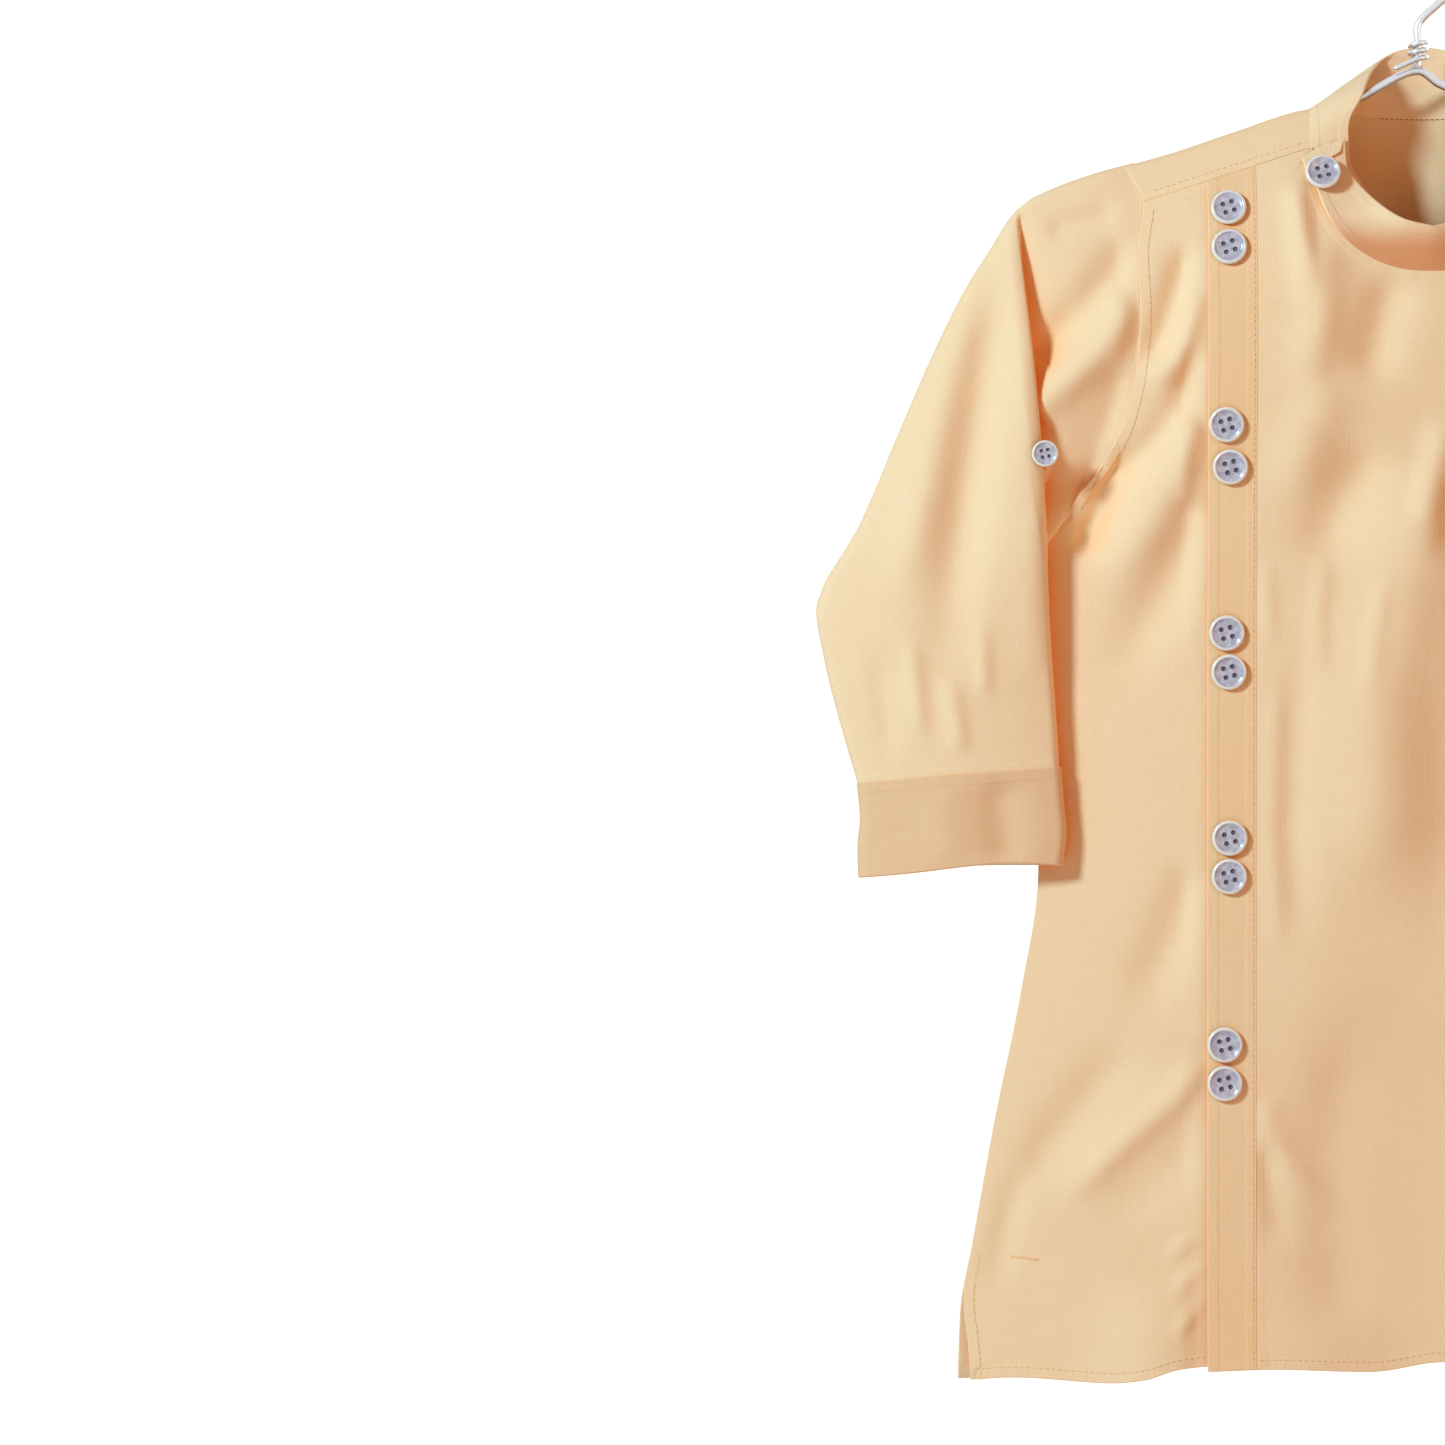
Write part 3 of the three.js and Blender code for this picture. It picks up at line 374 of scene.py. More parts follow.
def underFlat():
    across = even(grid["underSteps"])
    left = mirrored(slitEdge)
    hidden = [column(x, cut["hiddenRise"]) for x in bandColumns]
    top = onSeam(spaced(-edge[0][0], cut["bandEdge"], across))
    low = onLine(underHem, spaced(left[-1][0], cut["bandEdge"], across))
    main = fill(top, low, left, hidden[0], across, rowsDown)
    return np.concatenate([main, np.array(hidden[1:]).transpose(1, 0, 2)], axis=1)


# Shoulder strip of the back, from the front seam up to the fold over the wire
strip = {"shares": [1, 0.8, 0.6, 0.4, 0.25, 0.14, 0.06, 0],
         "backShares": [0, 0.06, 0.16, 0.3, 0.45, 0.62, 0.8]}


def plainFrontY(x, z):
    return -bodyDepth(x, z, frontBelly, 0 * x)


def seamDrop(x):
    return shoulderZ(x) - seamZ(x) - cut["seamGap"]


def stripEnd(share):
    return float(readTable(armholeLine, shoulderZ(edge[0][0]) - seamDrop(edge[0][0]) * share))


def stripPoint(x, share):
    z = float(shoulderZ(x) - seamDrop(x) * share)
    return (x, float(plainFrontY(np.array(x), z)) if share > 0 else 0.0, z)


def armholeX(z):
    return float(readTable(armholeLine, z) if z > cut["underarmZ"] else readTable(sideLine, z))


def backNet():
    yoke = even(grid["yokeSteps"])
    columns = [mix(-edge[0][0], -cut["neckHalf"], t) for t in yoke[:-1]]
    columns += [-cut["neckHalf"] * math.cos(t * math.pi) for t in even(grid["neckSteps"])[:-1]]
    columns += [mix(cut["neckHalf"], edge[0][0], t) for t in yoke]
    inNeck = [abs(x) < cut["neckHalf"] - 0.01 for x in columns]
    rows = []
    for share in strip["shares"]:
        row = []
        for x in columns:
            t = max(0, (abs(x) - cut["neckHalf"]) / (edge[0][0] - cut["neckHalf"]))
            row.append(stripPoint(math.copysign(mix(abs(x), stripEnd(share), t), x), share))
        rows.append(row)
    top = [(x, neckBackZ(x)) if inside else (point[0], point[2])
           for x, inside, point in zip(columns, inNeck, rows[-1])]
    topZ = float(shoulderZ(cut["shoulderEnd"]))
    sideZ = [mix(topZ, edge[0][1], share) for share in strip["backShares"]] + [z for _, z in edge]
    down = [(z - sideZ[0]) / (sideZ[-1] - sideZ[0]) for z in sideZ]
    sides = [[(sign * armholeX(z), z) for z in sideZ] for sign in (-1, 1)]
    across = even(len(columns) - 1)
    low = onLine(backHem, spaced(-cut["hemHalf"], cut["hemHalf"], across))
    main = raised(fill(top, low, sides[0], sides[1], across, down), backY)
    for i, inside in enumerate(inNeck):
        if not inside:
            main[0, i, 1] = 0
    net = np.concatenate([np.array(rows[:-1], float), main], axis=0)
    above = len(rows) - 1
    skip = np.zeros((net.shape[0] - 1, net.shape[1] - 1), bool)
    for i in range(len(columns) - 1):
        if inNeck[i] or inNeck[i + 1] or columns[i] * columns[i + 1] < 0:
            skip[:above, i] = True
    return net, skip, above


# Rings of the wearer's right sleeve after the armhole: ends, bends and depths
ringColumns = ("name", "topX", "topZ", "footX", "footZ", "bow", "turn", "bowBack", "front", "back", "footY")
sleeveRings = [dict(zip(ringColumns, row)) for row in [
    ("cap", -139, -104.8, -154.5, -254, 13, 0, 13, 12, 10, 0),
    ("head", -153, -109.6, -156, -256.5, 8.5, 1, 9, 11, 10, -1),
    ("lip", -167, -115.9, -157.5, -258, 2.5, 2, 4, 7.5, 10, -2),
    ("valley", -171.5, -119.4, -160, -261, -4, 0, 3, 1.5, 10.5, -3),
    ("under", -173, -120.7, -160.5, -264.5, -0.5, 0, 1, 7.5, 11, -5),
    ("edge", -174.2, -122.1, -160.6, -268.5, 1.8, 0, -1, 12, 11, -7),
    ("face", -176.5, -124.8, -160.6, -273, -2, 0, -2, 14, 11, -8.5),
    ("arm1", -183, -135.5, -160.4, -280, -1, 0, -1, 13.5, 10.5, -9),
    ("arm2", -194, -153, -160.1, -288, 0, 0, 0, 13, 10, -9),
    ("arm3", -208, -181, -159.6, -297, 0, 0, 0, 12.5, 10, -9),
    ("arm4", -223, -215.5, -159, -307, 0, 0, 0, 12, 9.5, -9),
    ("arm5", -239.5, -254, -158.3, -317, 0, 0, 0, 11.5, 9.5, -9),
    ("elbow", -254.5, -279.5, -157.6, -327, 0, 0, 0, 11, 9, -9),
    ("forearm1", -257.3, -290, -157, -335.5, 0, 0, 0, 10.5, 9, -9),
    ("forearm2", -253.5, -312, -156.5, -343, 0, 0, 0, 10, 8.5, -9),
    ("forearm3", -247, -337.6, -156.1, -350, 0, 0, 0, 9, 8, -9),
    ("wrist", -239.4, -363.3, -155.9, -356.6, 0, 0, 0, 8, 7, -9),
]]
cuffRings = [dict(zip(ringColumns, row)) for row in [
    ("seam", -239.9, -362.3, -155.2, -355.6, 0, 0, 0, 8.7, 7.7, -9),
    ("upper", -238.6, -377, -154.2, -369, 0, 0, 0, 8.4, 7.4, -9),
    ("lower", -239.6, -389, -153, -382, 0.5, 0, 0, 8.6, 7.6, -9),
    ("hem", -239.4, -401.5, -154.4, -396.3, 2, -0.8, 2, 8.8, 7.8, -9),
]]
sleeveShape = {"ends": 3.3, "power": 0.8, "around": 64, "betweenRings": 6, "underarm": (-154.2, 0, -252.2),
               "tuck": 3.0, "tuckDepth": 0.95, "still": (5, 5), "stillCuff": (5, -0.5),
               "lipRows": (3.2, 5.4)}


def sleeveShares(count):
    # closer together at both ends, where the sleeve turns round from front to back
    return np.array([0.5 - 0.5 * math.cos(math.pi * t) for t in even(count)])


def ringPoints(ring, share, side):
    runX, runZ = ring["footX"] - ring["topX"], ring["footZ"] - ring["topZ"]
    length = math.hypot(runX, runZ)
    arc = np.sin(share * np.pi)
    bend = ring["bow"] * arc + ring["turn"] * np.sin(2 * share * np.pi) if side < 0 else ring["bowBack"] * arc
    x = ring["topX"] + runX * share - runZ / length * bend
    z = ring["topZ"] + runZ * share + runX / length * bend
    turnIn = roundEnd(sleeveShape["ends"], np.minimum(share, 1 - share) * length)
    full = (ring["front"] if side < 0 else ring["back"]) - sleeveShape["ends"]
    y = ring["footY"] * share + side * (turnIn + full * np.maximum(arc, 0) ** sleeveShape["power"])
    return np.stack([x, y, z], axis=-1)


# The upper sleeve's lip swings in and out beside the layer that hangs in front of it
lipWave = [(-118, 0), (-150, 1), (-172, 2.6), (-185, 1.4), (-199, -2.6), (-212, -1), (-225, 0), (-250, 0)]
lipShares = {"head": 0.5, "lip": 1, "valley": 0.7}


def fullRing(ring):
    share = sleeveShares(sleeveShape["around"])
    front = ringPoints(ring, share, -1)
    front[:, 0] += lipShares.get(ring["name"], 0) * readTable(lipWave, front[:, 2])
    return np.concatenate([front, ringPoints(ring, share[1:-1], 1)[::-1]])


def armholeRing(sign, frontDepth):
    share = sleeveShares(sleeveShape["around"])
    topZ, foot = float(shoulderZ(cut["shoulderEnd"])), sleeveShape["underarm"]
    z = mix(topZ, foot[2], share)
    onCut = np.clip(z, cut["underarmZ"], topZ)
    x = -readTable(armholeLine, onCut)
    below = smooth(cut["underarmZ"], foot[2], z)
    x = mix(x, foot[0], below)
    front = mix(frontDepth(x, onCut), 0, below)
    back = mix(backY(-sign * x, onCut), 0, below)
    slope = np.gradient(x, z)
    away = np.stack([np.ones_like(x), -slope], axis=-1) / np.sqrt(1 + slope**2)[:, None] * sleeveShape["tuck"]
    inside = np.minimum(sleeveShape["tuckDepth"], np.abs(front))
    lines = [np.stack([x + away[:, 0], y, z + away[:, 1]], axis=-1) for y in (front + inside, back - inside)]
    return np.concatenate([lines[0], lines[1][1:-1][::-1]])


def between(rings, steps):
    # smooth rings between the given ones
    rings = np.array(rings)
    bends = bendsFrom(np.diff(rings, axis=0))
    made = [curved(rings[k], rings[k + 1], bends[k], bends[k + 1], t)
            for k in range(len(rings) - 1) for t in even(steps)[:-1]]
    return np.array([*made, rings[-1]])


def tubeNet(rings, steps, frontFolds, rearFolds, still, upperFolds=()):
    # folds fade over the still rows at the tube's sewn ends, and the upper ones stop at the lip
    net = between(rings, steps)
    rows = np.arange(len(net))[:, None]
    free = smooth(0, still[0], rows) * smooth(-1, still[1], rows[::-1])
    low, high = (steps * row for row in sleeveShape["lipRows"])
    hanging = smooth(low, high, rows) if upperFolds else 1.0
    around = sleeveShape["around"]
    share = sleeveShares(around)
    arc = np.sin(np.pi * np.concatenate([share, share[1:-1][::-1]])) ** 0.5
    side = np.concatenate([-np.ones(around + 1), np.ones(around - 1)])
    x, z = net[..., 0], net[..., 2]
    front = foldField(frontFolds, x, z) * hanging + foldField(upperFolds, x, z) * (1 - hanging)
    net[..., 1] += side * np.where(side < 0, front, foldField(rearFolds, x, z)) * arc * free
    return net


# Sections of the stand collar on the wearer's right, from the back centre to the front centre
collarRows = [(0, 0, 19, -49.8), (0.4, -9, 18.5, -51.2), (0.8, -17.5, 14.5, -55.6), (1, -24, 2, -63.5),
              (1.25, -27.5, -6, -71.5), (2, -34, -10.5, -88), (2.2, -34, -12.5, -99),
              (2.4, -29.6, -16.5, -110), (2.6, -21.8, -21.5, -119.6), (2.8, -11.6, -27, -126.5),
              (3, 0, -29.5, -129.5)]
collar = {"inward": 1.6, "outward": 1.6, "startAt": 1.2, "outerFrom": 2.2, "underEnd": 2.61, "rimDrop": 2.4,
          "tabLift": 2.3, "gap": -0.6, "roll": 1.2, "across": 10, "thickness": 1.15}
collarTab = [((-51, -106.5), (-38.5, -97.5)), ((-53.5, -99.8), (-41.5, -92.8))]


def rimOf(at):
    return np.array([float(readTable([(row[0], row[k]) for row in collarRows], at)) for k in (1, 2, 3)])


def neckSeam(at, part):
    if at > 2:
        x, z = neckFront((at - 2) / 2)
        depth = plainFrontY if part == "under" else overY
        return np.array([x, float(depth(np.array(-x if part == "left" else x), z)), z])
    if at > 1:
        return np.array(stripPoint(-cut["neckHalf"], at - 1))
    x = -cut["neckHalf"] * math.sin(at * math.pi / 2)
    return np.array([x, float(backY(np.array(x), neckBackZ(x))) if at < 1 else 0.0, neckBackZ(x)])


def collarSection(at, part):
    seam, rim = neckSeam(at, part), rimOf(at)
    if part == "under":
        rim[1] += collar["inward"] * float(smooth(collar["startAt"], 2, at))
    if part == "outer":
        near = 1 - float(smooth(collar["outerFrom"], collar["underEnd"], at))
        rim += (seam - rim) / np.linalg.norm(seam - rim) * collar["rimDrop"] * near
        seam[1] -= collar["outward"] * near
        rim[1] -= collar["outward"] * near
    if part == "left":
        seam[0], rim[0] = -seam[0], -rim[0]
    return acrossCollar(seam + (rim - seam) / np.linalg.norm(rim - seam) * collar["gap"], rim)


def acrossCollar(seam, rim):
    # the band bows out a little between its seam and its rim
    middle = np.array([0.0, seam[1] * 0.5, -98])
    out = (seam + rim) / 2 - middle
    out[2] *= 0.3
    out /= max(np.linalg.norm(out), 1e-6)
    return [mix(seam, rim, t) + out * collar["roll"] * math.sin(math.pi * t) * (0.4 + 0.6 * t)
            for t in even(collar["across"])]


def collarNet():
    fine = [0.0]
    for stop in (0.25, 0.5, 0.75, 1.0):
        fine += [mix(fine[-1], stop, t) for t in (0.25, 0.5, 0.75, 1)]
    fine += [1 + t for t in even(14)[1:]] + [2 + t for t in even(30)[1:]]
    down = fine[::-1]
    tab = []
    for seam, rim in collarTab:
        ends = [np.array([x, float(overY(np.array(x), z)) - collar["tabLift"], z]) for x, z in (seam, rim)]
        tab.append(acrossCollar(ends[0], ends[1]))
    outer = [collarSection(at, "outer") for at in down if at > 2]
    lastPart = between([np.array(s) for s in (outer[-1], tab[0], tab[1])], 5)[1:]
    return np.array([collarSection(at, "under") for at in down if at < collar["underEnd"]]
                    + [collarSection(at, "left") for at in fine[1:-1]] + outer + list(lastPart))


print("cut worked out")


# Cumulative lengths of a net, across its columns and down its rows
def netLengths(net, closed=False):
    wide = np.concatenate([net, net[:, :1]], axis=1) if closed else net
    across = np.cumsum(np.linalg.norm(np.diff(wide, axis=1), axis=2), axis=1)
    down = np.cumsum(np.linalg.norm(np.diff(wide, axis=0), axis=2), axis=0)
    across = np.concatenate([np.zeros((wide.shape[0], 1)), across], axis=1)
    down = np.concatenate([np.zeros((1, wide.shape[1])), down], axis=0)
    return across, down


# Distance to the nearest of some lines seen from the front, and the place along it
def nearLines(lines, x, z):
    away = np.full(x.shape, 1e9)
    along = np.zeros(x.shape)
    for line in lines:
        done = 0.0
        for (x0, z0), (x1, z1) in zip(line[:-1], line[1:]):
            length = math.hypot(x1 - x0, z1 - z0)
            if length < 1e-6:
                continue
            t = np.clip(((x - x0) * (x1 - x0) + (z - z0) * (z1 - z0)) / length**2, 0, 1)
            gap = np.hypot(x - x0 - (x1 - x0) * t, z - z0 - (z1 - z0) * t)
            along = np.where(gap < away, done + t * length, along)
            away = np.minimum(gap, away)
            done += length
    return np.stack([along, away], axis=-1)


def newPiece(name, data):
    piece = bpy.data.objects.new(name, data)
    bpy.context.scene.collection.objects.link(piece)
    return piece


def smoothFaces(mesh, angle=None):
    for polygon in mesh.polygons:
        polygon.use_smooth = True
    if angle:
        mesh.set_sharp_from_angle(angle=math.radians(angle))


# A thin closed shell round a net of points; skip marks the squares left out
def clothShell(name, net, thickness, weave, seam, closed=False, skip=None):
    rows, cols = net.shape[:2]
    j, i = np.meshgrid(np.arange(rows - 1), np.arange(cols if closed else cols - 1), indexing="ij")
    keep = np.ones(j.shape, bool) if skip is None else ~skip
    j, i = j[keep], i[keep]
    after = (i + 1) % cols
    squares = np.stack([j * cols + i, j * cols + after, (j + 1) * cols + after, (j + 1) * cols + i], axis=1)
    corners = {"weave": weave, "seam": seam}
    for key, field in corners.items():
        corners[key] = np.stack([field[j, i], field[j, i + 1], field[j + 1, i + 1], field[j + 1, i]], axis=1)
    flat = net.reshape(-1, 3)
    turned = np.cross(flat[squares[:, 2]] - flat[squares[:, 0]], flat[squares[:, 3]] - flat[squares[:, 1]])
    normals = np.zeros_like(flat)
    for k in range(4):
        np.add.at(normals, squares[:, k], turned)
    normals /= np.maximum(np.linalg.norm(normals, axis=1), 1e-12)[:, None]

    starts, ends = squares.ravel(), np.roll(squares, -1, axis=1).ravel()
    total = len(flat)
    rim = ~np.isin(starts * total + ends, ends * total + starts)
    p, q = starts[rim], ends[rim]
    runs = flat[q] - flat[p]
    runs /= np.maximum(np.linalg.norm(runs, axis=1), 1e-12)[:, None]
    outward = np.zeros_like(flat)
    np.add.at(outward, p, np.cross(runs, normals[p]))
    np.add.at(outward, q, np.cross(runs, normals[q]))
    outward /= np.maximum(np.linalg.norm(outward, axis=1), 1e-12)[:, None]

    used = np.unique(squares)
    place = np.full(total, -1)
    place[used] = np.arange(len(used))
    rimUsed = np.unique(p)
    middle = np.full(total, -1)
    middle[rimUsed] = 2 * len(used) + np.arange(len(rimUsed))
    half = thickness / 2
    points = np.concatenate([flat[used] + normals[used] * half, flat[used] - normals[used] * half,
                             flat[rimUsed] + outward[rimUsed] * half * 0.9])
    outer, back = place[squares], place[squares] + len(used)
    front = np.stack([place[q], place[p], middle[p], middle[q]], axis=1)
    rear = np.stack([middle[q], middle[p], place[p] + len(used), place[q] + len(used)], axis=1)
    faces = np.concatenate([outer, back[:, ::-1], front, rear])

    mesh = bpy.data.meshes.new(name)
    mesh.vertices.add(len(points))
    mesh.vertices.foreach_set("co", (points * mm).ravel())
    mesh.loops.add(faces.size)
    mesh.loops.foreach_set("vertex_index", faces.ravel())
    mesh.polygons.add(len(faces))
    mesh.polygons.foreach_set("loop_start", np.arange(len(faces)) * 4)
    mesh.polygons.foreach_set("use_smooth", np.ones(len(faces), bool))
    for key, field in corners.items():
        first, second = field.reshape(-1, 2)[rim], np.roll(field, -1, axis=1).reshape(-1, 2)[rim]
        side = np.stack([second, first, first, second], axis=1)
        layer = mesh.uv_layers.new(name=key)
        layer.data.foreach_set("uv", (np.concatenate([field, field[:, ::-1], side, side]) * mm).ravel())
    mesh.update(calc_edges=True)
    mesh.validate()
    mesh.set_sharp_from_angle(angle=math.radians(40))
    return newPiece(name, mesh)


def plainMesh(name, points, faces, smoothAngle=35):
    mesh = bpy.data.meshes.new(name)
    mesh.from_pydata([tuple(point) for point in np.array(points) * mm], [], faces)
    mesh.update(calc_edges=True)
    smoothFaces(mesh, smoothAngle)
    return newPiece(name, mesh)


def turnsOf(count):
    return [2 * math.pi * k / count for k in range(count)]


def ringFaces(start, sides):
    # the squares between a ring of points and the next ring
    return [(start + k, start + (k + 1) % sides, start + sides + (k + 1) % sides, start + sides + k)
            for k in range(sides)]


# Small helpers for node materials
class Nodes:
    def __init__(self, name):
        self.material = bpy.data.materials.new(name)
        self.material.use_nodes = True
        self.tree = self.material.node_tree
        self.shader = self.tree.nodes["Principled BSDF"]

    def put(self, value, socket):
        if isinstance(value, bpy.types.NodeSocket):
            self.tree.links.new(value, socket)
        else:
            socket.default_value = value

    def math(self, operation, a, b=0.0, c=0.0, clamp=False):
        node = self.tree.nodes.new("ShaderNodeMath")
        node.operation = operation
        node.use_clamp = clamp
        for value, socket in zip((a, b, c), node.inputs):
            self.put(value, socket)
        return node.outputs[0]

    def ramp(self, value, low, high, outLow=0.0, outHigh=1.0):
        node = self.tree.nodes.new("ShaderNodeMapRange")
        node.interpolation_type = "SMOOTHSTEP"
        for entry, socket in zip((value, low, high, outLow, outHigh), node.inputs):
            self.put(entry, socket)
        return node.outputs[0]

    def parts(self, layer):
        source = self.tree.nodes.new("ShaderNodeUVMap")
        source.uv_map = layer
        split = self.tree.nodes.new("ShaderNodeSeparateXYZ")
        self.tree.links.new(source.outputs[0], split.inputs[0])
        return split.outputs[0], split.outputs[1]

    def vector(self, x, y, z=0.0):
        node = self.tree.nodes.new("ShaderNodeCombineXYZ")
        for value, socket in zip((x, y, z), node.inputs):
            self.put(value, socket)
        return node.outputs[0]

    def objectPlace(self):
        return self.tree.nodes.new("ShaderNodeTexCoord").outputs["Object"]

    def noise(self, place, scale, detail=2.0, roughness=0.5):
        node = self.tree.nodes.new("ShaderNodeTexNoise")
        self.put(place, node.inputs["Vector"])
        node.inputs["Scale"].default_value = scale
        node.inputs["Detail"].default_value = detail
        node.inputs["Roughness"].default_value = roughness
        return node.outputs[0]

    def stretched(self, x, y, perX, perY, z, detail, roughness):
        place = self.vector(self.math("MULTIPLY", x, perX), self.math("MULTIPLY", y, perY), z)
        return self.noise(place, 1.0, detail, roughness)

    def blend(self, share, a, b):
        node = self.tree.nodes.new("ShaderNodeMix")
        node.data_type = "RGBA"
        sockets = [s for s in node.inputs if s.enabled]
        for value, socket in zip((share, a, b), sockets):
            self.put(value if isinstance(value, (float, bpy.types.NodeSocket)) else (*value, 1.0), socket)
        return next(s for s in node.outputs if s.enabled)

    def bump(self, height):
        node = self.tree.nodes.new("ShaderNodeBump")
        node.inputs["Strength"].default_value = 1.0
        node.inputs["Distance"].default_value = 1.0
        self.put(height, node.inputs["Height"])
        self.tree.links.new(node.outputs[0], self.shader.inputs["Normal"])

    def finish(self, colour, roughness, **fixed):
        self.put(colour, self.shader.inputs["Base Color"])
        self.put(roughness, self.shader.inputs["Roughness"])
        for socket, value in fixed.items():
            self.shader.inputs[socket.replace("_", " ")].default_value = value
        return self.material


# Cotton: slubs along and across, soft crumple, turned edges with puckers, and painted shade: deeper colour in
# hollows, mixed in by ambient occlusion
cloth = {"lit": (0.975, 0.76, 0.53), "thread": (0.965, 0.70, 0.45), "paintedShade": (1.0, 0.50, 0.16),
         "slub": 0.00009, "crumple": 0.0005, "turnIn": 0.004, "turnStep": 0.00016, "pucker": 0.0004,
         "hollow": 0.034, "paintedShadeShare": 0.85}


# Painted shade: the collar's colour deepens towards its low front
collarFrontShade = {"start": -0.122, "full": -0.139, "colour": (0.77, 0.36, 0.18)}


def cottonMaterial(name, tint=(1, 1, 1), pucker=1.0, paintedShadeShare=None, patches=0.22, front=0.0):
    n = Nodes(name)
    across, down = n.parts("weave")
    along, away = n.parts("seam")
    warp = n.stretched(across, down, 1150.0, 75.0, 0.0, 3.0, 0.6)
    weft = n.stretched(across, down, 65.0, 1250.0, 7.0, 3.0, 0.6)
    slubs = n.math("ADD", warp, weft)
    grain = n.math("MULTIPLY", slubs, cloth["slub"])
    crumple = n.noise(n.objectPlace(), 34.0, 3.0, 0.55)
    height = n.math("MULTIPLY_ADD", crumple, cloth["crumple"], grain)
    near = n.ramp(away, 0.0, 0.011, 1.0, 0.0)
    ripple = n.stretched(along, away, 210.0, 45.0, 3.0, 1.5, 0.5)
    gathers = n.math("MULTIPLY", n.math("SUBTRACT", ripple, 0.5), near)
    height = n.math("MULTIPLY_ADD", gathers, cloth["pucker"] * pucker, height)
    doubled = n.ramp(away, cloth["turnIn"] - 0.0004, cloth["turnIn"] + 0.0008, cloth["turnStep"], 0.0)
    height = n.math("ADD", height, doubled)
    n.bump(height)
    base, thread, paintedShade = ([part * share for part, share in zip(cloth[key], tint)]
                          for key in ("lit", "thread", "paintedShade"))
    colour = n.blend(n.ramp(slubs, 0.8, 1.25, 0.0, 0.5), base, thread)
    mottle = n.noise(n.objectPlace(), 9.0, 2.0, 0.5)
    colour = n.blend(n.ramp(mottle, 0.35, 0.7, 0.0, patches), colour, thread)
    # Painted shade: the colour deepens towards the collar's low front, mixed in by height
    if front:
        split = n.tree.nodes.new("ShaderNodeSeparateXYZ")
        n.put(n.objectPlace(), split.inputs[0])
        low = n.ramp(split.outputs[2], collarFrontShade["full"], collarFrontShade["start"], front, 0.0)
        colour = n.blend(low, colour, collarFrontShade["colour"])
    # Painted shade: the colour turns to a deep orange where ambient occlusion finds hollows, creases and gaps
    hollow = n.tree.nodes.new("ShaderNodeAmbientOcclusion")
    hollow.samples = 8
    hollow.inputs["Distance"].default_value = cloth["hollow"]
    share = n.ramp(hollow.outputs["AO"], 0.3, 0.92, paintedShadeShare or cloth["paintedShadeShare"], 0.0)
    colour = n.blend(share, colour, paintedShade)
    return n.finish(colour, 0.88, Specular_IOR_Level=0.15, Sheen_Weight=0.1, Sheen_Roughness=0.45,
                    Sheen_Tint=(1.0, 0.86, 0.7, 1.0))


panelCotton = cottonMaterial("peach cotton")
# The back's cotton paints less shade into its hollows, so its inside shows lighter through the neck
backCotton = cottonMaterial("peach cotton of the back, with weaker painted shade", (1, 1, 1), 1.0, 0.3)
# Painted shade: the cuffs' cotton is tinted darker and pinker, for less light coming through the doubled
# cloth
cuffCotton = cottonMaterial("peach cotton of the cuffs, tinted with painted shade", (0.89, 0.80, 0.75))
bandCotton = cottonMaterial("pressed peach cotton of the band", (0.98, 0.92, 0.86), 0.6, None, 0.8)
# Painted light: the collar's cotton is tinted lighter and paler for its lit upturned side, and paints less
# shade into its hollows
collarCotton = cottonMaterial("peach cotton of the collar, with painted light and shade", (1.02, 1.06, 1.1), 0.5, 0.6, 0.22, 1.0)
print("cotton mixed")

thin = {"panel": 0.8, "cuff": 1.3}


def dress(piece, material, nodes):
    piece.data.materials.clear()
    piece.data.materials.append(material)
    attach(piece, "root")
    if nodes:
        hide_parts(*nodes)
    return piece


def asPairs(a, b):
    return np.stack([a, b], axis=-1)


# Areas of a piece's squares, measured along its cloth
def stateCut(net, closed=False, skip=None):
    wide = np.concatenate([net, net[:, :1]], axis=1) if closed else net
    turned = np.cross(wide[1:, 1:] - wide[:-1, :-1], wide[1:, :-1] - wide[:-1, 1:])
    squares = np.linalg.norm(turned, axis=2) / 2
    if skip is not None:
        squares = squares[~skip]


# Turned edges of the panels; the back's hem is turned along its whole width
armhole = edge[:grid["armholeRows"] + 1]
slitSide = [(x, z) for x, z in slitEdge if z < cut["slitTop"] + 6]
neckLine = [neckFront(t) for t in even(48)]
yokeRight = onSeam([-edge[0][0], -90, -cut["neckHalf"]])
hemEnd = cut["hemHalf"] - cut["slitStep"]


def hemOf(table, low, high):
    return onLine(table, spaced(low, high, even(24)))


def fromFront(net):
    return net[..., 0], net[..., 2]


# Front over panel
overNet = raised(overFlat(), overY)
overLines = [yokeRight, mirrored(yokeRight), neckLine, armhole, slitSide,
             hemOf(overHem, cut["bandEdge"], hemEnd)]
frontOver = clothShell("frontOverPanel", overNet, thin["panel"], overNet[..., [0, 2]],
                       nearLines(overLines, *fromFront(overNet)))
dress(frontOver, panelCotton, ["front_over"])
stateCut(overNet)

# Front under panel
underNet = raised(underFlat(), underY)
underLines = [yokeRight, mirrored(armhole), mirrored(slitSide), hemOf(underHem, -hemEnd, cut["bandEdge"])]
frontUnder = clothShell("frontUnderPanel", underNet, thin["panel"], underNet[..., [0, 2]],
                        nearLines(underLines, *fromFront(underNet)))
dress(frontUnder, panelCotton, ["front_under"])
stateCut(underNet)

# Placket band, on the over panel's own columns
bandNet = raised(overFlat()[:, :grid["bandSteps"] + 1], bandY)
bandSides = [[*onSeam([x]), *onLine(overHem, [x])] for x in (bandColumns[0], bandColumns[-1])]
band = clothShell("placketBand", bandNet, thin["panel"], bandNet[..., [0, 2]],
                  nearLines(bandSides, *fromFront(bandNet)))
dress(band, bandCotton, ["placket_band"])
stateCut(bandNet)

